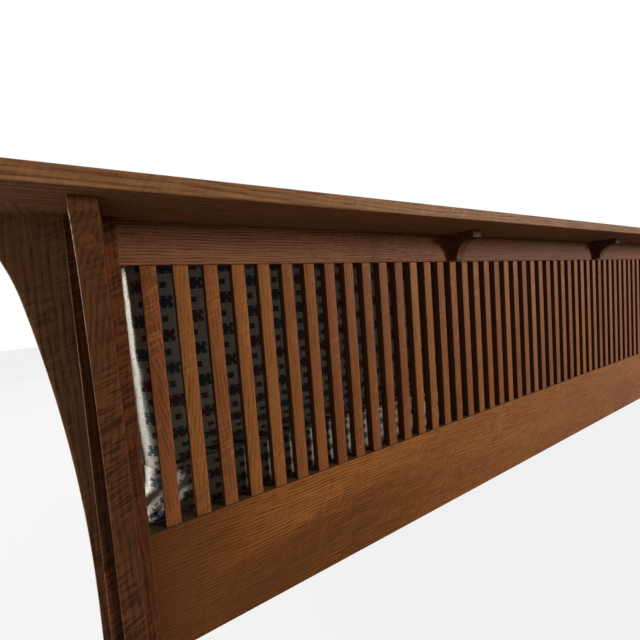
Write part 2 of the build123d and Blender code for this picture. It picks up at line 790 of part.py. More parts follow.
def back_cushion(x_mid):
    """A back cushion: fuller at its foot, crowned in front and behind, its top leaning forward."""
    height = back_cushion_top - back_cushion_bottom
    sections = []
    for along, crown_share, draw_share, round_share in back_form_shares:
        inset = back_cushion_edge_round * round_share
        half = cushion_width / 2 - cushion_draw * draw_share - inset
        thickness = back_cushion_edge_thickness * (1 - along) + back_cushion_top_thickness * along
        middle_rear_y = back_cushion_rear_y - back_cushion_lean * along
        rear_y = middle_rear_y - inset
        front_y = middle_rear_y - thickness + inset
        front_crown = back_cushion_front_crown * crown_share
        rear_crown = back_cushion_rear_crown * crown_share
        face = section_with_arcs(half, front_y, rear_y, front_crown, rear_crown)
        sections.append(Pos(x_mid, 0, back_cushion_bottom + height * along) * face)
    return loft(sections)


# Every node of the settle
def row_names(count):
    """Names for what stands in a row, from left to right."""
    between = ["middle"] if count == 3 else [f"middle_{index + 1}" for index in range(count - 2)]
    return ["left"] + between + ["right"]


parts = {}
side_names = {-1: "left", 1: "right"}
whole_corbel = corbel_solid(long_corbel_outline())
long_corbel = whole_corbel - plug_rod(peg_fit)
corbel_plug = whole_corbel & plug_rod(0)
short_corbel = corbel_solid(short_corbel_outline())
corbel_plugs = []
rail_outer_x = post_mid_x + rail_thickness / 2
rail_outer_y = back_post_mid_y + rail_thickness / 2

for side, name in side_names.items():
    for is_back, place in ((True, "back"), (False, "front")):
        column = post(side, is_back)
        parts[f"post_{place}_{name}"] = column - holes_near(screw_holes, column)
        parts[f"corner_block_{place}_{name}"] = corner_block(side, is_back)
    parts[f"arm_board_{name}"] = arm_board(side)
    top_rail = side_rail(side, top_rail_range)
    parts[f"side_top_rail_{name}"] = with_side_mortises(top_rail, side, top_rail_bottom, 1)
    lower_rail = side_rail(side, lower_rail_range) - stringer_mortise(side)
    parts[f"side_lower_rail_{name}"] = with_side_mortises(lower_rail, side, lower_rail_top, -1)
    parts[f"side_slats_{name}"] = side_slats(side)
    parts[f"side_pegs_{name}"] = grouped(peg(*start) for start in side_peg_starts(side))
    parts[f"cross_stretcher_{name}"] = cross_stretcher(side)
    parts[f"long_corbel_back_{name}"] = rearward_piece(long_corbel, side * post_mid_x, back_post_outer_y)
    corbel_plugs.append(rearward_piece(corbel_plug, side * post_mid_x, back_post_outer_y))
    for y_mid, place in ((back_post_mid_y, "rear"), (front_post_mid_y, "front")):
        parts[f"long_corbel_{place}_side_{name}"] = outward_piece(long_corbel, side, y_mid, post_outer_x)
        corbel_plugs.append(outward_piece(corbel_plug, side, y_mid, post_outer_x))
    parts[f"short_corbel_side_{name}"] = outward_piece(short_corbel, side, panel_mid_y, rail_outer_x)
    short_corbel_x = side * back_corbel_spacing / 2
    parts[f"short_corbel_back_{name}"] = rearward_piece(short_corbel, short_corbel_x, rail_outer_y)

back_top_rail = long_rail(back_post_mid_y, top_rail_range)
parts["back_top_rail"] = with_back_mortises(back_top_rail, top_rail_bottom, 1)
back_lower_rail = long_rail(back_post_mid_y, lower_rail_range) - stretcher_mortises(back_rail_face_y, 1)
back_lower_rail = back_lower_rail - holes_near(screw_holes, back_lower_rail)
parts["back_lower_rail"] = with_back_mortises(back_lower_rail, lower_rail_top, -1)
front_rail = long_rail(front_post_mid_y, front_rail_range) - stretcher_mortises(front_rail_face_y, -1)
parts["front_rail"] = front_rail - holes_near(screw_holes, front_rail)
for index, name in enumerate(row_names(back_bay_count)):
    parts[f"back_slats_{name}"] = back_slat_bay(index)

parts["back_shelf"] = back_shelf()
parts["mitre_splines"] = grouped(spline_solid(side, 0) for side in (-1, 1))
parts["post_dowels"] = grouped(post_dowels(0, 0))
parts["shelf_blocks"] = shelf_blocks()
parts["corbel_plugs"] = grouped(corbel_plugs)
parts["back_pegs"] = grouped(peg(*start) for side in (-1, 1) for start in back_peg_starts(side))
parts["front_pegs"] = grouped(peg(*start) for side in (-1, 1) for start in front_peg_starts(side))
parts["glides"] = grouped(glide(side, y) for side in (-1, 1) for y in (back_post_mid_y, front_post_mid_y))
parts["deck_ledger_back"] = ledger(True)
parts["deck_ledger_front"] = ledger(False)
parts["deck_stringer"] = deck_stringer()
parts["deck_slats"] = deck_slats()
parts["deck_slat_screws"] = grouped(screws(deck_screw_places, deck_screw_length))
parts["ledger_screws"] = grouped(screws(all_ledger_screw_places, ledger_screw_length))
parts["corner_block_screws"] = grouped(screws(all_corner_screw_places, block_screw_length))
for x_mid, name in zip(cushion_places, row_names(cushion_count)):
    parts[f"seat_cushion_{name}"] = seat_cushion(x_mid)
    parts[f"back_cushion_{name}"] = back_cushion(x_mid)

for name, shape in parts.items():
    export_step(shape, f"parts/{name}.step")
    size = shape.bounding_box().size
    print(name, round(size.X, 1), round(size.Y, 1), round(size.Z, 1))
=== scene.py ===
# %% [markdown]
# A mission settle in quartered oak, dressed for its picture.
# The settle itself is already measured: every rail, post and board arrives as a fixed frame in metres, with X
# along the seat, the front towards -Y and Z up. This lesson gives the oak its figure, makes the slats, screws
# and welts that repeat, stuffs the cushions with a cloth simulation, and sets a camera and soft lamps.

# %% Load the settle
import math
import bpy
import numpy as np
from mathutils import Matrix, Vector


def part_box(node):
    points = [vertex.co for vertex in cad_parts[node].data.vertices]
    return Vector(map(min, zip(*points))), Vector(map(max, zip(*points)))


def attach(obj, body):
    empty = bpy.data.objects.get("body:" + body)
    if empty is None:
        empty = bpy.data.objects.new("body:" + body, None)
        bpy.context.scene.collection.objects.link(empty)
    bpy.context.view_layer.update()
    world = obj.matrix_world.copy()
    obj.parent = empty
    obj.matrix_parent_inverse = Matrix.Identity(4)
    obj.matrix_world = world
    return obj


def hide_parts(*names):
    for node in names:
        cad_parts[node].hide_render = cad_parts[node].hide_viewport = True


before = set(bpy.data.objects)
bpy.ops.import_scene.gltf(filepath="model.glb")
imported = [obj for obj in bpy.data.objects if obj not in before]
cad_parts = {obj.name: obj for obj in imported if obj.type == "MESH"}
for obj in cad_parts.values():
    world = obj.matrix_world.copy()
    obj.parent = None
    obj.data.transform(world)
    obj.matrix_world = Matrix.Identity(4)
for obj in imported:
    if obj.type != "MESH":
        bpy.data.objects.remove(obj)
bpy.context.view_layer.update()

FRAME_BODY = "frame"
SIDES = ("left", "right")
ROW = ("left", "middle", "right")
MM = 0.001


def add_object(name, data):
    """An object in the scene."""
    made = bpy.data.objects.new(name, data)
    bpy.context.scene.collection.objects.link(made)
    return made


# %% [markdown]
# The camera stands behind the settle, near its back right corner and a hand's width under the shelf's top. Its
# lens is as wide as a phone's, so it has to stand at the true place: no cropping gives the same perspective.
# That place is measured from the corner post and the shelf, and the turn is three angles: yaw along the back, a
# slight pitch down, and the roll of a picture held by hand.

# %% Camera
CAMERA_PAST_POST = 0.0015
CAMERA_BEHIND_POST = 0.4547
CAMERA_UNDER_SHELF = 0.130
CAMERA_YAW = math.radians(29.987)
CAMERA_PITCH = math.radians(3.482)
CAMERA_ROLL = math.radians(4.245)
CAMERA_NEAR = 0.02
FOCAL_PIXELS = 336.7
PICTURE_PIXELS = 640
SENSOR_WIDTH = 36.0


def camera_turn(yaw, pitch, roll):
    """The camera's axes, as the columns of a matrix."""
    forward = Vector((-math.sin(yaw) * math.cos(pitch), -math.cos(yaw) * math.cos(pitch), -math.sin(pitch)))
    level_right = Vector((-math.cos(yaw), math.sin(yaw), 0))
    level_down = forward.cross(level_right)
    right = level_right * math.cos(roll) + level_down * math.sin(roll)
    down = level_down * math.cos(roll) - level_right * math.sin(roll)
    return Matrix((right, -down, -forward)).transposed()


post_low, post_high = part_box("post_back_right")
camera_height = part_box("back_shelf")[1].z - CAMERA_UNDER_SHELF
camera_place = Vector((post_low.x + CAMERA_PAST_POST, post_high.y + CAMERA_BEHIND_POST, camera_height))
camera_data = bpy.data.cameras.new("corner_camera")
camera_data.sensor_width = SENSOR_WIDTH
camera_data.lens = FOCAL_PIXELS / PICTURE_PIXELS * SENSOR_WIDTH
camera_data.clip_start = CAMERA_NEAR
camera = add_object("corner_camera", camera_data)
turn = camera_turn(CAMERA_YAW, CAMERA_PITCH, CAMERA_ROLL)
camera.matrix_world = Matrix.Translation(camera_place) @ turn.to_4x4()
bpy.context.scene.camera = camera
print("camera at", [round(value, 3) for value in camera_place], "lens", round(camera_data.lens, 2))

# %% [markdown]
# A few helpers keep the node trees readable. A term is what a node gives, and arithmetic on terms makes more
# nodes in the same tree, so a long chain of nodes reads like a formula. Shader trees and geometry trees share
# them.


# %% Terms
class Term:
    """What a node gives. Arithmetic on it makes more nodes."""

    def __init__(self, socket):
        self.socket, self.tree = socket, socket.id_data

    def __add__(self, other):
        return calc("ADD", self, other)

    def __sub__(self, other):
        return calc("SUBTRACT", self, other)

    def __rsub__(self, other):
        return calc("SUBTRACT", other, self)

    def __mul__(self, other):
        return calc("MULTIPLY", self, other)

    def __truediv__(self, other):
        return calc("DIVIDE", self, other)


def set_inputs(made, inputs):
    """Set a node's inputs, or link terms to them."""
    for name, value in inputs.items():
        if isinstance(value, Term):
            value.tree.links.new(value.socket, made.inputs[name])
        else:
            made.inputs[name].default_value = value


def add_node(tree, kind, inputs=None, **settings):
    """A node with its settings, and with its inputs set or linked."""
    made = tree.nodes.new(kind)
    for name, value in settings.items():
        setattr(made, name, value)
    set_inputs(made, inputs or {})
    return made


def give(tree, kind, inputs=None, output=0, **settings):
    """What a new node gives."""
    return Term(add_node(tree, kind, inputs, **settings).outputs[output])


def terms(made):
    """All that a node gives, by name."""
    return {socket.name: Term(socket) for socket in made.outputs}


# %% Node helpers
def calc(operation, *values, clamp=False):
    """One arithmetic step."""
    tree = next(value.tree for value in values if isinstance(value, Term))
    return give(tree, "ShaderNodeMath", dict(enumerate(values)), operation=operation, use_clamp=clamp)


def vector_calc(operation, first, second, output=0):
    """One arithmetic step on vectors."""
    return give(first.tree, "ShaderNodeVectorMath", {0: first, 1: second}, output, operation=operation)


def combined(tree, x=0.0, y=0.0, z=0.0):
    """A vector from its parts."""
    return give(tree, "ShaderNodeCombineXYZ", {0: x, 1: y, 2: z})


def parts(vector):
    """A vector's X, Y and Z."""
    return terms(add_node(vector.tree, "ShaderNodeSeparateXYZ", {0: vector}))


def span(value, low, high, to_low=0.0, to_high=1.0):
    """A value stretched from one span to another, eased and clamped at both ends."""
    inputs = {"Value": value, "From Min": low, "From Max": high, "To Min": to_low, "To Max": to_high}
    return give(value.tree, "ShaderNodeMapRange", inputs, interpolation_type="SMOOTHSTEP")


def noise(place, scales, detail=2.0, roughness=0.5, distortion=0.0):
    """Noise whose cells per metre are given along each axis."""
    inputs = {"Vector": vector_calc("MULTIPLY", place, scales), "Scale": 1.0, "Detail": detail}
    inputs |= {"Roughness": roughness, "Distortion": distortion}
    return give(place.tree, "ShaderNodeTexNoise", inputs, "Fac")


def shade(colour, factor=1.0):
    """A colour for a socket, made lighter or darker."""
    return (*(np.array(colour) * factor), 1.0)


def blend(share, first, second, way="MIX"):
    """Two colours blended by a share."""
    tree = next(value.tree for value in (share, first, second) if isinstance(value, Term))
    inputs = {0: share, 6: first, 7: second}
    return give(tree, "ShaderNodeMix", inputs, 2, data_type="RGBA", blend_type=way)


def bump(height, strength, distance):
    """The normals of a fine relief."""
    return give(height.tree, "ShaderNodeBump", {"Strength": strength, "Distance": distance, "Height": height})


def attribute(tree, name, output):
    """A value that the mesh carries."""
    return give(tree, "ShaderNodeAttribute", output=output, attribute_name=name)


def object_place(tree):
    """Where a point is in its object, in metres."""
    return give(tree, "ShaderNodeTexCoord", output="Object")


def true_normal(tree):
    """Where a face looks."""
    return give(tree, "ShaderNodeNewGeometry", output="True Normal")


def new_finish(name, roughness=0.5):
    """A material's tree and its one shader, with the material."""
    material = bpy.data.materials.new(name)
    material.use_nodes = True
    tree = material.node_tree
    tree.nodes.clear()
    shader = add_node(tree, "ShaderNodeBsdfPrincipled", {"Roughness": roughness})
    add_node(tree, "ShaderNodeOutputMaterial", {"Surface": Term(shader.outputs["BSDF"])})
    return material, tree, shader


# %% [markdown]
# Oak sawn on the quarter shows growth rings as close, wavy lines along the board, long open pores in the soft
# part of every ring, and rays, flecks and ripples that cross the grain and catch the light. An image of a board
# would repeat and stretch. Here the rings are layers in the solid wood: a distance across the stick, bent by
# slow and quick noise, is cut into equal rings, so the same lines run round every corner. Rays are noise drawn
# out across the grain, and a face that looks along the grain is end grain, dark and full of dots.

# %% Wood helpers
GRAIN_ORDER = {"X": "XYZ", "Y": "YXZ", "Z": "ZXY"}
WANDERS = (((1.1, 3.5, 3.5), 0.030), ((24, 90, 90), 0.0016), ((80, 260, 260), 0.0006))
DUST_AND_SHADE = (0.085, 0.070, 0.048)


def grain_coordinates(tree, grain, shift_name=None):
    """Object coordinates with the grain first, moved piece by piece where an attribute says so."""
    place = object_place(tree)
    if shift_name:
        place = vector_calc("ADD", place, attribute(tree, shift_name, "Vector"))
    split = parts(place)
    return combined(tree, *(split[axis] for axis in GRAIN_ORDER[grain]))


def end_share(tree, axis):
    """How far a face looks along an axis."""
    return span(calc("ABSOLUTE", parts(true_normal(tree))[axis]), 0.75, 0.95)


def worn_and_highlight_share(tree, width):
    """Where an edge is rounded, lightened as edge wear and as a painted highlight: the normal there differs from
    one taken over a wider stretch.
    """
    wide = give(tree, "ShaderNodeBevel", {"Radius": width}, samples=4)
    return span(vector_calc("DOT_PRODUCT", wide, true_normal(tree), "Value"), 0.99, 0.86)


def centred(value, weight):
    """How far a share is from a half, weighted."""
    return (value - 0.5) * weight


def wander(place, scales, reach):
    """Noise centred on nought, with a reach in metres."""
    return centred(noise(place, scales), 2 * reach)


def along_direction(place, direction):
    """How far a place lies along a direction."""
    return vector_calc("DOT_PRODUCT", place, direction, "Value")


def dusted_and_shaded(tree, place, colour):
    """A colour with dust where a face looks up, dark enough to hold painted shade too."""
    up = span(parts(true_normal(tree))["Z"], 0.80, 0.98)
    laid = span(noise(place, (60, 60, 60), 3), 0.3, 0.7, 0.55, 0.9)
    return blend(up * laid, colour, shade(DUST_AND_SHADE))


def painted_rail_shade(place):
    """Painted shade, darker low down and towards the right end of the back's lower rail, where the light falls
    off.
    """
    split = parts(place)
    height = split["Z"] + wander(place, (4, 9, 9), 0.03)
    low = span(height, 0.285, 0.235) * span(split["X"], 0.20, 0.85, 0.10, 0.68)
    return calc("MAXIMUM", low, span(split["X"], 0.66, 0.93, 0.0, 0.80))


def end_grain(place, golden, brown):
    """The arcs and dots of a sawn end."""
    arcs = noise(place, (300, 300, 60), 3, 0.6)
    dots = span(noise(place, (1500, 1500, 1500), 1), 0.55, 0.7)
    return blend(dots * 0.6, blend(arcs, shade(brown, 0.40), shade(golden, 0.72)), shade(brown, 0.3))


# %% Oak
OAK_SHINE = 0.09
OAK_SHEEN = (1.0, 0.80, 0.58)
RUDDY = (1.40, 1.05, 1.4)
AMBER = (1.15, 1.22, 0.95)
WORN_AND_HIGHLIGHT_WIDTH = 0.0022


def oak(name, grain, tones, ring_side=(0.0, 0.15, 1.0), ring_pitch=0.0050, rays=0.5, wave=0.0040, **piece):
    """Stained quartered oak. The rings lie across ring_side, given with the grain first."""
    golden, brown = tones
    material, tree, shader = new_finish(name)
    place = grain_coordinates(tree, grain, piece.get("shift_name"))
    depth = along_direction(place, ring_side)
    if "tone_name" in piece:
        piece_tone = attribute(tree, piece["tone_name"], "Fac")
        depth += parts(place)["X"] * centred(piece_tone, 0.30)
    for scales, reach in (*WANDERS, ((9, 30, 30), wave)):
        depth += wander(place, scales, reach)
    ring = calc("FRACT", depth / ring_pitch)
    late = span(ring, 0.0, 0.62) * span(ring, 1.0, 0.84)
    strength = span(noise(place, (9, 70, 70)), 0.32, 0.62, 0.15, 1.0)
    fibres = noise(place, (36, 1000, 1000), 3, 0.6)
    pores = span(noise(place, (42, 1150, 1150)), 0.54, 0.66) * span(late, 0.75, 0.30)
    leaning = vector_calc("ADD", place, combined(tree, along_direction(place, (0.0, 1.0, 1.0)) * 0.45))
    flecks = span(noise(leaning, (330, 42, 42), 3, 0.55, 0.35), 0.52, 0.64)
    waves = span(noise(leaning, (230, 26, 26), 2, 0.6, 0.8), 0.40, 0.60)
    ends = end_share(tree, grain)
    flecks = flecks * span(noise(place, (7, 17, 17)), 0.44, 0.58) * (1.0 - ends)
    curls = span(noise(place, (5, 12, 12)), 0.36, 0.60) * centred(waves, piece.get("curl", 0.2))
    share = centred(late, piece.get("lines", 0.80)) * strength + 0.5
    share += centred(noise(place, (16, 400, 400), 3, 0.6), 1.7) + centred(fibres, 0.8)
    share = calc("ADD", share + centred(noise(place, (2.2, 7, 7)), 1.1), curls, clamp=True)
    colour = blend(share, shade(brown), shade(golden))
    if "tone_name" in piece:
        colour = blend(0.50, colour, blend(piece_tone, shade(brown, RUDDY), shade(golden, AMBER)))
        colour = blend(span(share, 0.5, 0.0, 0.0, 0.42), colour, shade(brown, 0.72))
    colour = blend(flecks * (0.62 * rays), colour, shade(golden, 1.28))
    colour = blend(ends, colour, end_grain(place, golden, brown))
    colour = blend(pores * 0.62, colour, shade(brown, 0.32))
    # Rounded edges are lighter: edge wear, and a painted highlight on the arris.
    colour = blend(worn_and_highlight_share(tree, WORN_AND_HIGHLIGHT_WIDTH) * 0.55, colour, shade(golden, 1.5))
    # Painted shade: the back's lower rail is darker low down and near the right post.
    if piece.get("painted_rail_shade"):
        colour = blend(painted_rail_shade(place), colour, shade(brown, 0.70))
    # Painted shade: the slat sides that face the narrow gaps are darker.
    if "painted_gap_shade_axis" in piece:
        colour = blend(end_share(tree, piece["painted_gap_shade_axis"]) * 0.85, colour, shade(brown, 0.60))
    if "left_tone" in piece:
        colour = blend(span(parts(place)["X"], 0.85, 0.25), colour, shade(piece["left_tone"]), "MULTIPLY")
    # Dust on the faces that look up, darkened as painted shade on the ledges between the slats.
    if piece.get("dusty_and_shaded"):
        colour = dusted_and_shaded(tree, place, colour)
    gloss = fibres * 0.18 + 0.46 - flecks * 0.10 + pores * 0.2
    normal = bump(pores * -1.0 + fibres * 0.4 + late * 0.35, 0.4, 0.0004)
    inputs = {"Base Color": colour, "Roughness": gloss, "Normal": normal}
    set_inputs(shader, inputs | {"Specular IOR Level": OAK_SHINE, "Specular Tint": shade(OAK_SHEEN)})
    return material


# %% [markdown]
# Boards differ, so each kind of piece has its own tones, its own lie to the rings, and more or fewer rays. The
# long corbels under the arms are lighter than the other corbels, as painted fill light. Under the cushions a
# maker doesn't
# spend quartered oak: ledgers, deck slats and corner blocks are plain pale wood without stain. Pegs are split
# from dark stock and show only their ends.

# %% Woods
TONES = {
    "post": ((0.094, 0.0275, 0.0080), (0.029, 0.0090, 0.0035)),
    "rail": ((0.285, 0.096, 0.020), (0.076, 0.023, 0.006)),
    "top_rail": ((0.175, 0.071, 0.033), (0.055, 0.020, 0.010)),
    "board": ((0.240, 0.108, 0.043), (0.100, 0.041, 0.017)),
    "slat": ((0.220, 0.077, 0.0215), (0.092, 0.030, 0.0095)),
    "corbel": ((0.088, 0.031, 0.010), (0.032, 0.011, 0.004)),
    # Painted fill light: the long corbels under the arms are lighter than the other corbels.
    "bracket": ((0.225, 0.098, 0.044), (0.088, 0.036, 0.016)),
    "plug": ((0.112, 0.036, 0.010), (0.060, 0.019, 0.006)),
    "deck": ((0.60, 0.42, 0.235), (0.42, 0.265, 0.135)),
    "peg": ((0.110, 0.036, 0.011), (0.060, 0.020, 0.007)),
}
ACROSS = (0.0, 0.7, 0.7)
RAIL = {"rays": 0.6, "dusty_and_shaded": True}
TOP_RAIL = {"ring_pitch": 0.0038, "rays": 0.4, "left_tone": (0.88, 0.56, 0.30)}
BOARD = {"ring_side": (0.0, 0.5, 0.87), "rays": 0.2, "wave": 0.0012, "lines": 0.55}
SLAT = {"ring_side": (0.0, 0.8, 0.6), "ring_pitch": 0.0040, "rays": 0.9, "lines": 0.45, "curl": 0.35}
SLAT |= {"tone_name": "tone", "shift_name": "grain_shift"}
DECK = {"ring_pitch": 0.007, "rays": 0.1}
KINDS = {
    "post_oak": ("Z", "post", {"ring_side": (0.0, 0.9, 0.35), "curl": 1.4, "lines": 0.6}),
    "rail_oak_lengthways": ("X", "rail", RAIL),
    "lower_rail_oak": ("X", "rail", RAIL | {"painted_rail_shade": True}),
    "top_rail_oak": ("X", "top_rail", TOP_RAIL),
    "rail_oak_crossways": ("Y", "rail", RAIL),
    "board_oak_lengthways": ("X", "board", BOARD),
    "board_oak_crossways": ("Y", "board", BOARD),
    "corbel_oak": ("Z", "corbel", {"ring_side": ACROSS, "curl": 1.3, "lines": 0.5}),
    "bracket_oak": ("Z", "bracket", {"ring_side": ACROSS, "curl": 0.6, "lines": 0.6}),
    "plug_oak": ("Z", "plug", {"rays": 0.2}),
    "slat_oak_x": ("Z", "slat", SLAT | {"painted_gap_shade_axis": "X"}),
    "slat_oak_y": ("Z", "slat", SLAT | {"painted_gap_shade_axis": "Y"}),
    "deck_wood_crossways": ("Y", "deck", DECK),
    "deck_wood_lengthways": ("X", "deck", DECK),
    "deck_wood_upright": ("Z", "deck", DECK),
    "peg_wood_lengthways": ("Y", "peg", {"rays": 0.0}),
    "peg_wood_crossways": ("X", "peg", {"rays": 0.0}),
}
finishes = {name: oak(name, grain, TONES[tone], **figure) for name, (grain, tone, figure) in KINDS.items()}
print("woods", list(finishes))


# %% Plastic and zinc
def speckled(name, colour, dark, cells, detail, spread, gloss, relief=0.0, metallic=0.0):
    """A small part's finish: one colour with fine darker spots that are more or less dull."""
    material, tree, shader = new_finish(name)
    spots = noise(object_place(tree), (cells, cells, cells), *detail)
    colour = blend(spots, shade(colour, dark), shade(colour))
    inputs = {"Base Color": colour, "Roughness": span(spots, *spread, *gloss), "Metallic": metallic}
    set_inputs(shader, inputs | {"Normal": bump(spots, relief, 0.0002)} if relief else inputs)
    return material


PLASTIC = ((0.09, 0.07, 0.06), 0.7, 900, (3,), (0.2, 0.8), (0.45, 0.65), 0.2)
ZINC = ((0.62, 0.61, 0.58), 0.6, 500, (4, 0.6), (0.3, 0.7), (0.25, 0.5), 0.0, 1.0)
finishes |= {"glide_plastic": speckled("glide_plastic", *PLASTIC), "screw_zinc": speckled("screw_zinc", *ZINC)}
print("finishes", len(finishes))

# %% [markdown]
# The posts, rails, boards and corbels already have their right shapes, with every arris eased, so they only get
# their finish. One table says which finish each kind of piece has.

# %% Finish the measured pieces
PIECES = {
    "post_oak": ("post_back", "post_front"),
    "corbel_oak": ("long_corbel_back", "short_corbel"),
    "bracket_oak": ("long_corbel",),
    "top_rail_oak": ("back_top_rail",),
    "lower_rail_oak": ("back_lower_rail",),
    "rail_oak_lengthways": ("front_rail", "shelf_blocks"),
    "rail_oak_crossways": ("side_top_rail", "side_lower_rail"),
    "board_oak_lengthways": ("back_shelf",),
    "board_oak_crossways": ("arm_board",),
    "plug_oak": ("corbel_plugs",),
    "deck_wood_lengthways": ("deck_ledger", "deck_stringer", "mitre_splines"),
    "deck_wood_crossways": ("deck_slats", "cross_stretcher"),
    "deck_wood_upright": ("corner_block", "post_dowels"),
    "peg_wood_lengthways": ("back_pegs", "front_pegs"),
    "peg_wood_crossways": ("side_pegs",),
    "glide_plastic": ("glides",),
}
finished = 0
for name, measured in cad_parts.items():
    kind = next((kind for kind, starts in PIECES.items() if name.startswith(starts)), None)
    if kind:
        measured.data.materials.clear()
        measured.data.materials.append(finishes[kind])
        finished += 1
print("finished", finished, "measured pieces")

# %% [markdown]
# Slats repeat, so one geometry tree makes a whole row, the back's along X or a side's along Y: an eased outline
# is drawn up a straight line and set on every point of the row, with a tone and a shift of its grain at random,
# because each slat comes from another stick. The tree ends in real geometry, since copies that only exist as
# instances are lost later. The sides that face the narrow gaps are darker, as painted shade.


# %% Geometry tree helpers
def new_geometry_tree(name, sockets):
    """A geometry tree with named inputs, what it is given, and its output node."""
    tree = bpy.data.node_groups.new(name, "GeometryNodeTree")
    tree.interface.new_socket(name="Geometry", in_out="OUTPUT", socket_type="NodeSocketGeometry")
    for title, kind in sockets.items():
        tree.interface.new_socket(name=title, in_out="INPUT", socket_type="NodeSocket" + kind)
    return tree, terms(add_node(tree, "NodeGroupInput")), add_node(tree, "NodeGroupOutput")


def in_use(sockets, name):
    """The socket of a name that is in use for a node's kind of data."""
    return next(socket for socket in sockets if socket.enabled and socket.name == name)


def random_value(seed, kind, low, high):
    """A random value for each copy."""
    made = add_node(seed.tree, "FunctionNodeRandomValue", data_type=kind)
    in_use(made.inputs, "Min").default_value = low
    in_use(made.inputs, "Max").default_value = high
    seed.tree.links.new(seed.socket, in_use(made.inputs, "Seed"))
    return Term(in_use(made.outputs, "Value"))


def store(geometry, name, kind, value, domain="POINT"):
    """Store a value on a geometry under a name."""
    inputs = {"Geometry": geometry, "Name": name}
    made = add_node(value.tree, "GeometryNodeStoreNamedAttribute", inputs, data_type=kind, domain=domain)
    value.tree.links.new(value.socket, in_use(made.inputs, "Value"))
    return Term(made.outputs[0])


def stored(tree, name, kind):
    """What is stored under a name."""
    made = add_node(tree, "GeometryNodeInputNamedAttribute", {"Name": name}, data_type=kind)
    return Term(in_use(made.outputs, "Attribute"))


def finish_tree(output, geometry, material):
    """End a tree with real geometry in its material."""
    real = give(geometry.tree, "GeometryNodeRealizeInstances", {"Geometry": geometry})
    dressed = give(geometry.tree, "GeometryNodeSetMaterial", {"Geometry": real, "Material": material})
    set_inputs(output, {"Geometry": dressed})


def grow(name, tree, values, source=None):
    """A plain mesh object that a geometry tree makes from named values."""
    piece = add_object(name, source or bpy.data.meshes.new(name))
    modifier = piece.modifiers.new("grow", "NODES")
    modifier.node_group = tree
    for item in tree.interface.items_tree:
        if item.in_out == "INPUT" and item.name in values:
            modifier[item.identifier] = values[item.name]
    mesh = solid_mesh(piece, name)
    return add_object(name, mesh)


def solid_mesh(piece, name):
    """The mesh that an object's modifiers make, in place of the object."""
    graph = bpy.context.evaluated_depsgraph_get()
    mesh = bpy.data.meshes.new_from_object(piece.evaluated_get(graph), depsgraph=graph)
    bpy.data.objects.remove(piece)
    mesh.name = name
    return mesh


# %% Slat tree
SLAT_INPUTS = {"Count": "Int", "First": "Vector", "Step": "Vector", "Width": "Float", "Depth": "Float"}
SLAT_INPUTS |= {"Easing": "Float", "Height": "Float", "Seed": "Int", "Wood": "Material"}
GRAIN_SHIFT = 3.0


def slat_tree():
    """The tree that makes a row of slats."""
    tree, given, output = new_geometry_tree("slat_row", SLAT_INPUTS)
    sizes = {"Width": given["Width"], "Height": given["Depth"]}
    outline = give(tree, "GeometryNodeCurvePrimitiveQuadrilateral", sizes)
    easing = {"Curve": outline, "Count": 3, "Radius": given["Easing"], "Limit Radius": True}
    eased = give(tree, "GeometryNodeFilletCurve", easing, mode="POLY")
    line = give(tree, "GeometryNodeCurvePrimitiveLine", {"End": combined(tree, z=given["Height"])})
    slat = give(tree, "GeometryNodeCurveToMesh", {"Curve": line, "Profile Curve": eased, "Fill Caps": True})
    row = {"Count": given["Count"], "Start Location": given["First"], "Offset": given["Step"]}
    points = give(tree, "GeometryNodeMeshLine", row, mode="OFFSET")
    copies = give(tree, "GeometryNodeInstanceOnPoints", {"Points": points, "Instance": slat})
    tone = random_value(given["Seed"], "FLOAT", 0.0, 1.0)
    copies = store(copies, "tone", "FLOAT", tone, "INSTANCE")
    shift = random_value(given["Seed"], "FLOAT_VECTOR", [-GRAIN_SHIFT] * 3, [GRAIN_SHIFT] * 3)
    copies = store(copies, "grain_shift", "FLOAT_VECTOR", shift, "INSTANCE")
    finish_tree(output, copies, given["Wood"])
    return tree


# %% Slats
SLAT_EASING = 0.0010
SLAT_PITCH = 0.0381
SLAT_TENON = 0.010
slat_row = slat_tree()


def slat_panel(name, nodes, along, seed):
    """A row of slats in the place of measured ones, along X or Y."""
    lows, highs = zip(*(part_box(measured) for measured in nodes))
    low = Vector([min(corner[axis] for corner in lows) for axis in range(3)])
    high = Vector([max(corner[axis] for corner in highs) for axis in range(3)])
    sizes = [high.x - low.x, high.y - low.y]
    count = round((sizes[along] - SLAT_PITCH / 2) / SLAT_PITCH) + 1
    sizes[along] -= (count - 1) * SLAT_PITCH
    first = Vector((low.x + sizes[0] / 2, low.y + sizes[1] / 2, low.z + SLAT_TENON))
    step = Vector((0, 0, 0))
    step[along] = SLAT_PITCH
    height = high.z - low.z - 2 * SLAT_TENON
    values = {"Count": count, "First": first, "Step": step, "Width": sizes[0], "Depth": sizes[1], "Seed": seed}
    values |= {"Easing": SLAT_EASING, "Height": height, "Wood": finishes["slat_oak_" + "xy"[along]]}
    panel = grow(name, slat_row, values)
    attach(panel, FRAME_BODY)
    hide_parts(*nodes)
    print(name, count, "slats of", [round(size / MM, 1) for size in sizes], "mm, height", round(height, 3))


slat_panel("back_slat_row", [f"back_slats_{name}" for name in ROW], 0, 480)
for seed, name in enumerate(SIDES, 21):
    slat_panel(f"side_slat_row_{name}", [f"side_slats_{name}"], 1, seed)

# %% [markdown]
# Sixty-two countersunk screws hold the deck together. One geometry tree makes them all: a cone for the head, a
# cylinder for the shank and two crossed bars cut out as the recess. Their places are read from the measured
# screws: every loose island of that mesh is one screw, and its head is the end where it is widest. Nobody drives
# two screws to the same angle, so each gets a turn of its own.

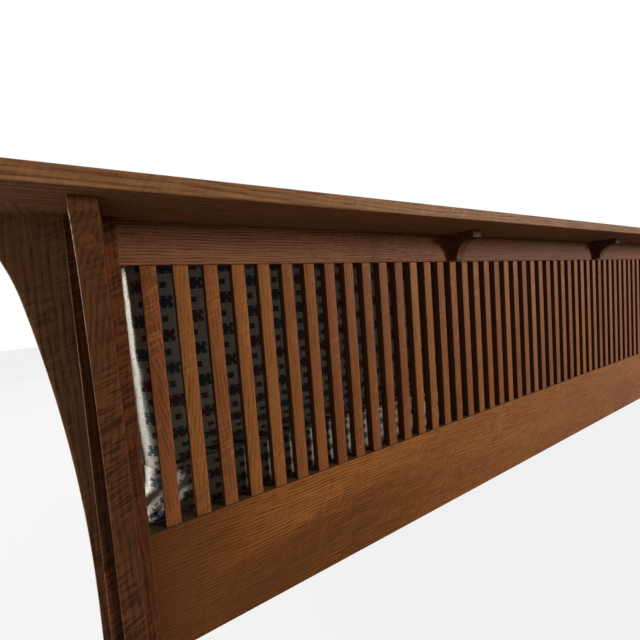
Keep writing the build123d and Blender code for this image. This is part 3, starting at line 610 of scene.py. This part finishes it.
# %% Screw tree
HEAD_SINK = 0.0002
HEAD_FACE = 0.0004
SCREW_SIZES = {"Head Radius": 0.0040, "Head Height": 0.0032, "Shank Radius": 0.0019}
SCREW_SIZES |= {"Recess Span": 0.0046, "Recess Width": 0.0009}
SCREW_INPUTS = {"Places": "Geometry"} | {size: "Float" for size in (*SCREW_SIZES, "Length")}
SCREW_INPUTS |= {"Seed": "Int", "Metal": "Material"}


def moved(geometry, height, turn=0.0):
    """Geometry moved along Z and turned about it."""
    drop = combined(geometry.tree, z=height)
    inputs = {"Geometry": geometry, "Translation": drop, "Rotation": (0.0, 0.0, turn)}
    return give(geometry.tree, "GeometryNodeTransform", inputs)


def screw_tree():
    """The tree that makes a screw at every place, driven along a stored direction."""
    tree, given, output = new_geometry_tree("wood_screw", SCREW_INPUTS)
    head_height, shank_radius = given["Head Height"], given["Shank Radius"]
    head = {"Vertices": 16, "Radius Top": given["Head Radius"], "Radius Bottom": shank_radius}
    cone = moved(give(tree, "GeometryNodeMeshCone", head | {"Depth": head_height}), head_height * -1.0)
    bar_size = combined(tree, given["Recess Span"], given["Recess Width"], head_height)
    bar = give(tree, "GeometryNodeMeshCube", {"Size": bar_size})
    cut = add_node(tree, "GeometryNodeMeshBoolean", {"Mesh 1": cone}, operation="DIFFERENCE", solver="EXACT")
    for turn in (0.0, math.pi / 2):
        set_inputs(cut, {"Mesh 2": moved(bar, 0.0, turn)})
    shank_length = given["Length"] - head_height
    shank = {"Vertices": 10, "Radius": shank_radius, "Depth": shank_length}
    pin = moved(give(tree, "GeometryNodeMeshCylinder", shank), shank_length * -0.5 + head_height * -1.0)
    screw = add_node(tree, "GeometryNodeJoinGeometry")
    for part in (Term(cut.outputs["Mesh"]), pin):
        set_inputs(screw, {0: part})
    outward = {"Vector": stored(tree, "outward", "FLOAT_VECTOR")}
    facing = give(tree, "FunctionNodeAlignRotationToVector", outward, axis="Z")
    turn = {"Axis": (0.0, 0.0, 1.0), "Angle": random_value(given["Seed"], "FLOAT", 0.0, math.pi)}
    spin = give(tree, "FunctionNodeAxisAngleToRotation", turn)
    both = give(tree, "FunctionNodeRotateRotation", {0: facing, 1: spin}, rotation_space="LOCAL")
    inputs = {"Points": given["Places"], "Instance": Term(screw.outputs[0]), "Rotation": both}
    finish_tree(output, give(tree, "GeometryNodeInstanceOnPoints", inputs), given["Metal"])
    return tree


# %% Screws
screw = screw_tree()


def islands(mesh):
    """The points of each loose part of a mesh."""
    owner = list(range(len(mesh.vertices)))

    def root(index):
        while owner[index] != index:
            owner[index] = owner[owner[index]]
            index = owner[index]
        return index

    keys = {}
    for vertex in mesh.vertices:
        key = tuple(round(value, 6) for value in vertex.co)
        owner[root(vertex.index)] = root(keys.setdefault(key, vertex.index))
    for edge in mesh.edges:
        owner[root(edge.vertices[0])] = root(edge.vertices[1])
    groups = {}
    for vertex in mesh.vertices:
        groups.setdefault(root(vertex.index), []).append(vertex.co[:])
    return [np.unique(np.round(group, 6), axis=0) for group in groups.values()]


def screw_place(points):
    """Where a screw's head is, the direction it looks, and the screw's length."""
    middle = (points.max(axis=0) + points.min(axis=0)) / 2
    axis = np.linalg.svd(points - points.mean(axis=0))[2][0]
    along = (points - middle) @ axis
    radius = np.linalg.norm(points - middle - np.outer(along, axis), axis=1)
    if along[np.argmax(radius)] < 0:
        axis, along = -axis, -along
    head = points[along > along.max() - HEAD_FACE].mean(axis=0)
    return head, axis, along.max() - along.min()


for seed, name in enumerate(("deck_slat_screws", "ledger_screws", "corner_block_screws"), 31):
    found = [screw_place(points) for points in islands(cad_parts[name].data)]
    places = bpy.data.meshes.new(name + "_places")
    places.from_pydata([Vector(head - axis * HEAD_SINK) for head, axis, _ in found], [], [])
    outward = places.attributes.new("outward", "FLOAT_VECTOR", "POINT")
    outward.data.foreach_set("vector", np.ravel([axis for _, axis, _ in found]))
    length = min(reach for _, _, reach in found) - HEAD_SINK
    values = SCREW_SIZES | {"Length": length, "Seed": seed, "Metal": finishes["screw_zinc"]}
    screws = grow("driven_" + name, screw, values, places)
    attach(screws, FRAME_BODY)
    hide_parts(name)
    print(name, len(found), "of", round(length / MM, 1), "mm,", len(screws.data.polygons), "faces")

# %% [markdown]
# The cushions are covered in a coarse ribbed weave: a cream ground with small stepped figures in navy, burgundy,
# green and blue, set in half-drop rows. A weave is arithmetic, so it needs no image. Each cushion carries its
# cloth coordinates in metres, the way its panels were cut, and the pattern counts threads: it rounds the
# coordinates down to blocks and asks, block by block, whether a figure covers it. A hash of the figure's row and
# column picks its colour, and a little noise leaves the figures' edges ragged and the ground specked.

# %% Woven cloth
RIB = 0.0019
YARN = 0.0013
BLOCK_ACROSS = 0.00205
COLUMN_BLOCKS = 18
ROW_BLOCKS = 22
CUT_ACROSS = -0.0055
CUT_ALONG = 0.0148
RAGGED = 0.0075
CREAM = (0.52, 0.47, 0.38)
SHADED = (0.36, 0.31, 0.235)
DULL = (0.40, 0.355, 0.28)
SPECK = (0.12, 0.095, 0.065)
GROOVE_SHADE = (0.42, 0.40, 0.38)
FIRST_COLOUR = (0.016, 0.020, 0.050)
LATER_COLOURS = ((0.32, (0.085, 0.012, 0.026)), (0.58, (0.014, 0.030, 0.022)), (0.80, (0.020, 0.050, 0.085)))
BLOCK_AREAS = (((0, 5), (0, 2)), ((0, 2), (0, 4)), ((3, 6), (1, 4)), ((0, 2), (9, 11)))


def whole(value, step):
    """How many whole steps fit in a value."""
    return calc("FLOOR", value / step)


def from_middle(value, step):
    """How far a block is from the middle of its cell, in blocks."""
    return calc("ABSOLUTE", value - whole(value, step) * step - (step - 1) / 2)


def within(value, low, high):
    """One for the values between two others."""
    return calc("LESS_THAN", value, high) * calc("GREATER_THAN", value, low)


def wave(value, pitch):
    """A row of round backs."""
    return calc("ABSOLUTE", calc("SINE", value * (math.pi / pitch)))


def woven_cloth():
    """Cream ribbed cloth with stepped figures, on the cushions' own cloth coordinates."""
    material, tree, shader = new_finish("cushion_cloth", 0.92)
    cloth = parts(attribute(tree, "cloth", "Vector"))
    across, along = cloth["X"] + CUT_ACROSS, cloth["Y"] + CUT_ALONG
    place = combined(tree, across, along)
    threads = (1 / YARN, 1 / RIB, 1)
    block = whole(across + centred(noise(place, threads, 1), RAGGED), BLOCK_ACROSS)
    column = whole(block, COLUMN_BLOCKS)
    odd = calc("MODULO", calc("ABSOLUTE", column), 2)
    thread = whole(along, RIB) + odd * (ROW_BLOCKS / 2)
    out, up = from_middle(block, COLUMN_BLOCKS), from_middle(thread, ROW_BLOCKS)
    areas = [within(out, *out_span) * within(up, *up_span) for out_span, up_span in BLOCK_AREAS]
    figures = calc("MAXIMUM", calc("MAXIMUM", *areas[:2]), calc("MAXIMUM", *areas[2:]))
    cell = {"Vector": combined(tree, column, whole(thread, ROW_BLOCKS))}
    chance = give(tree, "ShaderNodeTexWhiteNoise", cell, noise_dimensions="2D")
    colour = shade(FIRST_COLOUR)
    for level, later in LATER_COLOURS:
        colour = blend(calc("GREATER_THAN", chance, level), colour, shade(later))
    heather = noise(place, threads)
    ground = blend(span(heather, 0.3, 0.7), shade(SHADED), shade(CREAM))
    ground = blend(noise(place, (9, 9, 9)) * 0.3, ground, shade(DULL))
    specks = span(noise(place, (420, 260, 1), 2, 0.6), 0.55, 0.68, 0.0, 0.62)
    ground = blend(specks, ground, shade(SPECK))
    mixed = blend(figures * span(heather, 0.25, 0.6, 0.55, 1.0), ground, colour)
    relief = wave(across, YARN) * 0.45 + wave(along, RIB) + heather * 0.5
    # Painted shade: the cloth is darker in the grooves between the ribs.
    mixed = blend(span(relief, 0.2, 1.1), blend(1.0, mixed, shade(GROOVE_SHADE), "MULTIPLY"), mixed)
    set_inputs(shader, {"Base Color": mixed, "Normal": bump(relief, 0.8, 0.0007), "Specular IOR Level": 0.2})
    set_inputs(shader, {"Sheen Weight": 0.12, "Sheen Roughness": 0.5})
    return material


cushion_cloth = woven_cloth()
print("figures every", round(BLOCK_ACROSS * COLUMN_BLOCKS / MM), "mm, rows every", round(RIB * ROW_BLOCKS / MM))

# %% [markdown]
# A seat or back cushion is two panels and a boxing strip, sewn into a case and filled. The blank below is that
# case before filling: a box of small squares whose panels know how they were cut. A plain remeshed box would
# work too, but it would lose the seams, and the seams are where the welts go.

# %% Cushion blanks
CLOTH_CELL = 0.008
PANEL_AXES = ((1, 2), (0, 2), (0, 1))


def case_key(axis, end, one, two):
    """Which point of a case lies on a panel, counted in squares along X, Y and Z."""
    return ((end, one, two), (one, end, two), (one, two, end))[axis]


def cushion_case(name, size, facing):
    """A closed case of cloth squares about the origin, with cloth coordinates, and its two seams."""
    counts = [max(2, round(length / CLOTH_CELL)) for length in size]
    steps = [length / count for length, count in zip(size, counts)]
    keys, corners, cuts = {}, [], []
    for axis, (first, second) in enumerate(PANEL_AXES):
        for end in (0, counts[axis]):
            turned = (end == 0) != (axis == 1)
            for a in range(counts[first]):
                for b in range(counts[second]):
                    ring = [(a, b), (a + 1, b), (a + 1, b + 1), (a, b + 1)]
                    for one, two in reversed(ring) if turned else ring:
                        corners.append(keys.setdefault(case_key(axis, end, one, two), len(keys)))
                        cuts.append((one * steps[first], two * steps[second]))
    quads = np.reshape(corners, (-1, 4)).tolist()
    points = [[key[axis] * steps[axis] - size[axis] / 2 for axis in range(3)] for key in keys]
    mesh = bpy.data.meshes.new(name)
    mesh.from_pydata(points, [], quads)
    mesh.attributes.new("cloth", "FLOAT2", "CORNER").data.foreach_set("vector", np.ravel(cuts))
    mesh.polygons.foreach_set("use_smooth", [True] * len(quads))
    mesh.update()
    wide, high = (counts[other] for other in PANEL_AXES[facing])
    walk = [(a, 0) for a in range(wide)] + [(wide, b) for b in range(high)]
    walk += [(wide - a, high) for a in range(wide)] + [(0, high - b) for b in range(high)]
    ends = (0, counts[facing])
    return mesh, [[keys[case_key(facing, end, one, two)] for one, two in walk] for end in ends]


# %% [markdown]
# Filling is a cloth simulation. The case gets a little pressure and no gravity for twenty frames; the panels
# swell, the seams draw in between the corners, and puckers form along them, which is what stuffing does. How far
# a point may move is capped, because foam fills a case without turning it into a balloon.

# %% Fill a case
FILL_FRAMES = 20
FILLING = {"quality": 5, "mass": 0.25, "bending_stiffness": 0.3, "shear_stiffness": 4}
FILLING |= {"tension_stiffness": 12, "compression_stiffness": 12}
FILLING |= {"use_pressure": True, "uniform_pressure_force": 4.0}


def mesh_points(mesh):
    """A mesh's points as an array."""
    points = np.empty(len(mesh.vertices) * 3)
    mesh.vertices.foreach_get("co", points)
    return points.reshape(-1, 3)


def filled_points(mesh, cap):
    """Where the points of a case go when it is filled."""
    rest = mesh_points(mesh)
    case = add_object("case_to_fill", mesh)
    filling = case.modifiers.new("filling", "CLOTH")
    for name, value in FILLING.items():
        setattr(filling.settings, name, value)
    filling.settings.effector_weights.gravity = 0
    filling.collision_settings.use_collision = False
    filling.point_cache.frame_start = 1
    filling.point_cache.frame_end = FILL_FRAMES
    for frame_number in range(1, FILL_FRAMES + 1):
        bpy.context.scene.frame_set(frame_number)
    graph = bpy.context.evaluated_depsgraph_get()
    swollen = mesh_points(case.evaluated_get(graph).data)
    bpy.data.objects.remove(case)
    bpy.context.scene.frame_set(1)
    moves = swollen - rest
    reach = np.linalg.norm(moves, axis=1, keepdims=True)
    print(mesh.name, "points moved up to", round(float(reach.max()) / MM, 1), "mm")
    return rest + moves * (cap * np.tanh(reach / cap) / np.maximum(reach, 1e-9))


# %% [markdown]
# A filled cushion is then set in its place and pressed by what it touches: a seat cushion lies flat on the deck
# slats and is pressed down under its back cushion; both stop against the posts and the rails, and neighbours
# meet in flat faces. Pressing here is a soft limit, a curve that leaves far points alone and rounds near ones
# off at the limit.


# %% Press against what it touches
def press_below(values, limit, softness):
    """Values kept below a limit, rounded off near it."""
    return limit - softness * np.logaddexp(0, (limit - values) / softness)


def press_above(values, limit, softness):
    """Values kept above a limit, rounded off near it."""
    return -press_below(-values, -limit, softness)


def ease(values, start, end):
    """From nought at the start to one at the end, eased."""
    share = np.clip((values - start) / (end - start), 0, 1)
    return share * share * (3 - 2 * share)


def ripples(points, seed, scale):
    """Smooth seeded unevenness from minus one to one."""
    random = np.random.default_rng(seed)
    total = np.zeros(len(points))
    for _ in range(7):
        wave_turn = random.normal(0, 1, 3) / scale
        total += np.sin(points @ wave_turn + random.uniform(0, 2 * math.pi))
    return total / 4


def fit_width(values, low, high, stretch=1.0):
    """Values scaled so that their span is that of the space."""
    middle = (values.max() + values.min()) / 2
    scale = (high - low) / (values.max() - values.min()) * stretch
    values[:] = (values - middle) * scale + (low + high) / 2


def straighten(values, along, low, high, overlap, share=0.9):
    """Two opposite faces pushed out to their limits all along another axis, as where a case is wedged."""
    middle = (low + high) / 2
    places = np.linspace(along.min(), along.max(), 30)
    near = [np.abs(along - place) < (places[1] - places[0]) for place in places]
    for side, limit in ((-1, low), (1, high)):
        reach = side * (values - middle)
        widest = np.array([reach[chosen].max() for chosen in near])
        widest = np.convolve(np.pad(widest, 2, mode="edge"), np.ones(5) / 5, mode="valid")
        wanted = side * (limit - middle) + overlap
        scale = 1 + share * (wanted / np.interp(along, places, widest) - 1)
        values[:] = np.where(reach > 0, middle + side * reach * scale, values)


def wedge(values, low, high):
    """Keep values between two neighbours."""
    values[:] = press_above(press_below(values, high, SIDE_SOFTNESS), low, SIDE_SOFTNESS)


# %% [markdown]
# One case is filled for the seat cushions and one for the back cushions. Each is used three times, as it is,
# turned end for end or mirrored, with its own unevenness, so that no two cushions match.

# %% Places for the cushions
REST_GAP = 0.0003
SIDE_SOFTNESS = 0.0006
INNER_CORNER = 0.012
SEAM_CREASE = 0.7
rail_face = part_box("back_lower_rail")[0].y
deck_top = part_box("deck_slats")[1].z
seat_boxes = [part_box(f"seat_cushion_{name}") for name in ROW]
back_boxes = [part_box(f"back_cushion_{name}") for name in ROW]
limits = [-post_low.x, (seat_boxes[0][1].x + seat_boxes[1][0].x) / 2]
limits += [(seat_boxes[1][1].x + seat_boxes[2][0].x) / 2, post_low.x]
spaces = [(low + REST_GAP, high - REST_GAP) for low, high in zip(limits, limits[1:])]


def finish_cushion(kind, order, case, turns, points, seams):
    """A cushion's mesh at its final points, subdivided once, with its seams kept crisp."""
    name, body = f"{kind}_cushion_soft_{ROW[order]}", f"{kind}_cushion_{ROW[order]}"
    mesh = case.copy()
    mesh.vertices.foreach_set("co", points.ravel())
    if np.prod(turns) < 0:
        mesh.flip_normals()
    crease = mesh.attributes.new("crease_edge", "FLOAT", "EDGE")
    on_seam = np.zeros(len(mesh.vertices), bool)
    on_seam[np.ravel(seams)] = True
    ends = np.empty(len(mesh.edges) * 2, int)
    mesh.edges.foreach_get("vertices", ends)
    both = on_seam[ends.reshape(-1, 2)].all(axis=1)
    crease.data.foreach_set("value", (both * SEAM_CREASE).astype(np.float32))
    mesh.materials.append(cushion_cloth)
    mesh.update()
    rough = add_object(name + "_rough", mesh)
    smooth = rough.modifiers.new("smooth", "SUBSURF")
    smooth.levels = smooth.render_levels = 1
    cushion = add_object(name, solid_mesh(rough, name))
    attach(cushion, body)
    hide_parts(body)
    return cushion


def corner_limit(x, left, right, order, outer):
    """How far forward the rear face draws back near a cushion's two upright corners."""
    drawn = np.zeros(len(x))
    for end, limit, at_post in ((-1, left, order == 0), (1, right, order == 2)):
        radius = outer if at_post else INNER_CORNER
        reach = np.clip(1 - end * (limit - x) / radius, 0, 1)
        drawn = np.maximum(drawn, radius * (1 - np.sqrt(1 - reach ** 2)))
    return drawn


print("cushions lie between", [round(value, 3) for value in limits])

# %% Seat cushions
SEAT_CASE = (0.604, 0.760, 0.082)
SEAT_CAP = 0.024
SEAT_TURNS = ((1, 1, 1), (-1, -1, 1), (-1, 1, 1))
SEAT_SWELL = 0.005
SEAT_UNEVENNESS = 0.0022
SEAT_FRONT_HEIGHT = 0.092
SEAT_REAR_HEIGHT = 0.076
SEAT_CORNER = 0.078
CREASE_PITCH = 0.021
CREASE_DEPTH = 0.0065
CREASE_REACH = 0.085
PRESSED_DEPTH = 0.085
DECK_SOFTNESS = 0.0012
TOP_SOFTNESS = 0.0022
seat_case, seat_seams = cushion_case("seat_case", SEAT_CASE, 2)
seat_filled = filled_points(seat_case, SEAT_CAP)


def corner_creases(points, side, seed):
    """How deep the cloth folds where a rear corner is squeezed against a post."""
    x, y, z = points.T
    reach = np.clip(1 - (post_low.x - side * x) / CREASE_REACH, 0, 1)
    near = ease(reach, 0.0, 0.8) * ease(y, rail_face - 0.09, rail_face - 0.01)
    slope = z * 0.80 + side * x * 0.60 + ripples(points, seed, 0.06) * 0.004
    fold = np.sin(slope * 2 * math.pi / CREASE_PITCH)
    return near * CREASE_DEPTH * (0.5 - 0.5 * fold) ** 2


def set_seat_cushion(order, turns):
    """One seat cushion between its neighbours, flat on the deck and pressed under its back cushion."""
    points = seat_filled * turns
    x, y, z = points.T
    left, right = spaces[order]
    front, back = seat_boxes[order][0].y, rail_face - REST_GAP
    fit_width(x, left, right)
    fit_width(y, front, back, 1.002)
    straighten(x, y, left, right, SEAT_SWELL)
    z += ripples(points, 31 + order, 0.11) * SEAT_UNEVENNESS * (z > 0)
    along = np.clip((y - front) / (back - front), 0, 1)
    height = SEAT_FRONT_HEIGHT + (SEAT_REAR_HEIGHT - SEAT_FRONT_HEIGHT) * along
    floor_z = deck_top + REST_GAP
    z[:] = (z + SEAT_CASE[2] / 2 + SEAT_SWELL) * height / (SEAT_CASE[2] + SEAT_SWELL) + floor_z
    above = back_boxes[order][0]
    under = ease(y, above.y - PRESSED_DEPTH, above.y + 0.004)
    top = above.z - REST_GAP - 0.0005 + (1 - under) * (seat_boxes[order][1].z - above.z)
    z[:] = press_below(press_above(z, floor_z, DECK_SOFTNESS), top, TOP_SOFTNESS)
    wedge(x, left, right)
    drawn = corner_limit(x, left, right, order, SEAT_CORNER)
    drawn *= 0.1 + 0.9 * ease(z, floor_z + 0.010, floor_z + 0.045)
    y[:] = press_below(y, back - drawn, 0.001)
    cushion = finish_cushion("seat", order, seat_case, turns, points, seat_seams)
    if ROW[order] != "middle":
        folded = mesh_points(cushion.data)
        folded[:, 1] -= corner_creases(folded, order - 1, 51 + order)
        cushion.data.vertices.foreach_set("co", folded.ravel())
        cushion.data.update()
    return cushion


seat_cushions = [set_seat_cushion(order, turns) for order, turns in enumerate(SEAT_TURNS)]
print("seat cushions of", len(seat_cushions[0].data.polygons), "squares")

# %% Back cushions
BACK_CASE = (0.600, 0.098, 0.348)
BACK_CAP = 0.026
BACK_TURNS = ((1, 1, 1), (-1, 1, 1), (1, 1, -1))
BACK_SWELL = 0.006
BACK_UNEVENNESS = 0.0025
BACK_FOOT_THICKNESS = 0.112
BACK_TOP_THICKNESS = 0.092
BACK_LEAN = 0.001
BACK_REAR_SEAM = 0.0035
BACK_CORNER_TOP = 0.013
BACK_CORNER_FOOT = 0.046
back_case, back_seams = cushion_case("back_case", BACK_CASE, 1)
back_filled = filled_points(back_case, BACK_CAP)


def set_back_cushion(order, turns):
    """One back cushion on its seat cushion, leaning a little forward from foot to top."""
    points = back_filled * turns
    x, y, z = points.T
    left, right = spaces[order]
    foot, top = (corner.z for corner in back_boxes[order])
    fit_width(x, left, right)
    straighten(x, z, left, right, BACK_SWELL)
    fit_width(z, foot - 0.004, top)
    y += ripples(points, 41 + order, 0.10) * BACK_UNEVENNESS
    along = np.clip((z - foot) / (top - foot), 0, 1)
    thickness = BACK_FOOT_THICKNESS + (BACK_TOP_THICKNESS - BACK_FOOT_THICKNESS) * along
    rear_seam = rail_face - REST_GAP - BACK_REAR_SEAM - BACK_LEAN * along
    y[:] = (y / BACK_CASE[1] - 0.5) * thickness + rear_seam
    corner = BACK_CORNER_FOOT + (BACK_CORNER_TOP - BACK_CORNER_FOOT) * np.sqrt(along)
    drawn = corner_limit(x, left, right, order, corner)
    y[:] = press_below(y, rear_seam + BACK_REAR_SEAM - drawn, 0.002)
    z[:] = press_above(z, foot, 0.0015)
    wedge(x, left, right)
    cushion = finish_cushion("back", order, back_case, turns, points, back_seams)
    return cushion


back_cushions = [set_back_cushion(order, turns) for order, turns in enumerate(BACK_TURNS)]
print("back cushions of", len(back_cushions[0].data.polygons), "squares")

# %% [markdown]
# A welt is a cord sewn into the seam in a bias strip of the same cloth. It follows the seam wherever filling and
# pressing have carried it, so it is swept along the cushion's own seam points. Seat cushions have a welt at both
# panels; a back cushion has one round its front panel only, and a plain seam behind.

# %% Welts
WELT_RADIUS = 0.0030
WELT_OUT = 0.0012
WELT_STEP = 0.006
WELT_INPUTS = {"Seam": "Geometry", "Radius": "Float", "Step": "Float", "Cloth": "Material"}


def welt_tree():
    """The tree that sweeps a welt along a seam."""
    tree, given, output = new_geometry_tree("seam_welt", WELT_INPUTS)
    line = give(tree, "GeometryNodeMeshToCurve", {"Mesh": given["Seam"]})
    even = give(tree, "GeometryNodeResampleCurve", {"Curve": line, "Length": given["Step"]}, mode="LENGTH")
    place = terms(add_node(tree, "GeometryNodeSplineParameter"))
    line = store(even, "along_welt", "FLOAT", place["Length"])
    ring = {"Resolution": 8, "Radius": given["Radius"]}
    round_section = give(tree, "GeometryNodeCurvePrimitiveCircle", ring)
    turned = place["Factor"] * (given["Radius"] * (2 * math.pi))
    round_section = store(round_section, "around_welt", "FLOAT", turned)
    welt = give(tree, "GeometryNodeCurveToMesh", {"Curve": line, "Profile Curve": round_section})
    cut = combined(tree, stored(tree, "around_welt", "FLOAT"), stored(tree, "along_welt", "FLOAT"))
    finish_tree(output, store(welt, "cloth", "FLOAT_VECTOR", cut), given["Cloth"])
    return tree


seam_welt = welt_tree()


def sew_welt(name, cushion, rings, body):
    """Welts along the seams of one cushion, as one piece."""
    points, normals = mesh_points(cushion.data), np.array([v.normal[:] for v in cushion.data.vertices])
    path, edges = [], []
    for ring in rings:
        start, count = len(path), len(ring)
        path += [points[index] + normals[index] * WELT_OUT for index in ring]
        edges += [(start + index, start + (index + 1) % count) for index in range(count)]
    seam = bpy.data.meshes.new(name + "_seam")
    seam.from_pydata([Vector(point) for point in path], edges, [])
    welt = grow(name, seam_welt, {"Radius": WELT_RADIUS, "Step": WELT_STEP, "Cloth": cushion_cloth}, seam)
    welt.data.polygons.foreach_set("use_smooth", [True] * len(welt.data.polygons))
    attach(welt, body)
    return welt


for name, seat, back in zip(ROW, seat_cushions, back_cushions):
    sew_welt(f"seat_welts_{name}", seat, seat_seams, f"seat_cushion_{name}")
    welt = sew_welt(f"back_welt_{name}", back, back_seams[:1], f"back_cushion_{name}")
print("welts of", len(welt.data.polygons), "faces on a back cushion")

# %% [markdown]
# The floor is a plain pale sheet. To the camera it is nearly white, as is the room, and everything else sees a
# mid grey, so that the settle is lit by its lamps and keeps its shadow.

# %% Floor and room
FLOOR_REACH = 9.0
FLOOR_COLOUR = (0.16, 0.156, 0.152)
FLOOR_SEEN = (0.86, 0.2)
ROOM_SEEN = (1.0, 0.12)
ROOM_COLOUR = (0.93, 0.96, 1.0)
ROOM_LIGHT = 0.10
WHITE = shade((1, 1, 1))


def seen_white(tree, plain, white, output, seen):
    """End a tree in a mix that is whiter to the camera and, more faintly, in reflections."""
    path = terms(add_node(tree, "ShaderNodeLightPath"))
    mirrored = calc("MAXIMUM", path["Is Glossy Ray"], path["Is Transmission Ray"])
    share = calc("MAXIMUM", path["Is Camera Ray"] * seen[0], mirrored * seen[1])
    set_inputs(output, {"Surface": give(tree, "ShaderNodeMixShader", {0: share, 1: plain, 2: white})})


floor_look, floor_tree, floor_shader = new_finish("pale_floor", 0.9)
set_inputs(floor_shader, {"Base Color": shade(FLOOR_COLOUR)})
glow = give(floor_tree, "ShaderNodeEmission", {"Color": WHITE, "Strength": 1.0})
floor_output = next(made for made in floor_tree.nodes if made.type == "OUTPUT_MATERIAL")
seen_white(floor_tree, Term(floor_shader.outputs[0]), glow, floor_output, FLOOR_SEEN)

floor_mesh = bpy.data.meshes.new("studio_floor")
corners = [(x * FLOOR_REACH, y * FLOOR_REACH, 0) for x, y in ((-1, -1), (1, -1), (1, 1), (-1, 1))]
floor_mesh.from_pydata(corners, [], [(0, 1, 2, 3)])
floor_mesh.materials.append(floor_look)
floor = add_object("studio_floor", floor_mesh)

room = bpy.data.worlds.new("studio_room")
bpy.context.scene.world = room
room.use_nodes = True
room_tree = room.node_tree
room_tree.nodes.clear()
soft = give(room_tree, "ShaderNodeBackground", {"Color": shade(ROOM_COLOUR), "Strength": ROOM_LIGHT})
bright = give(room_tree, "ShaderNodeBackground", {"Color": WHITE, "Strength": 1.0})
seen_white(room_tree, soft, bright, add_node(room_tree, "ShaderNodeOutputWorld"), ROOM_SEEN)
print("floor of", 2 * FLOOR_REACH, "m, room light", ROOM_LIGHT)

# %% [markdown]
# The main lamp stands like a window, far off behind the settle to its left: its light crosses the slats, so their
# faces are bright and the cushions behind them stay dark. Daylight from the right end lights the eased edges and
# the rounded corners of the cushions, with a weak touch from the right rear. One lamp lights the left end, one
# fills the front, and one touches the seat from above.


# %% Lamps
def soft_lamp(name, place, target, size, watts, colour=(1.0, 0.97, 0.93)):
    """A rectangular lamp that faces a point."""
    data = bpy.data.lights.new(name, "AREA")
    data.shape = "RECTANGLE"
    data.size, data.size_y = size
    data.energy = watts
    data.color = colour
    lamp = add_object(name, data)
    lamp.location = place
    lamp.rotation_euler = (Vector(target) - Vector(place)).to_track_quat("-Z", "Y").to_euler()


settle_middle = (0.0, 0.0, 0.45)
soft_lamp("window_lamp", (-6.3, 7.3, 2.1), (0.9, 0.35, 0.5), (1.8, 2.4), 1030)
soft_lamp("right_end_lamp", (3.6, -0.62, 1.0), (0.93, 0.30, 0.5), (1.2, 1.2), 290, (0.90, 0.95, 1.0))
soft_lamp("right_rear_lamp", (3.2, 2.6, 0.9), (1.0, 0.35, 0.5), (1.6, 1.4), 13, (0.88, 0.94, 1.0))
soft_lamp("left_end_lamp", (-3.6, -0.65, 0.85), (-0.93, 0.0, 0.5), (1.3, 1.3), 60, (0.95, 0.97, 1.0))
soft_lamp("front_lamp", (1.2, -3.6, 2.0), settle_middle, (2.8, 1.8), 120)
soft_lamp("ceiling_lamp", (0.0, 0.0, 3.2), settle_middle, (3.0, 2.0), 60)
bpy.context.scene.view_settings.view_transform = "Standard"
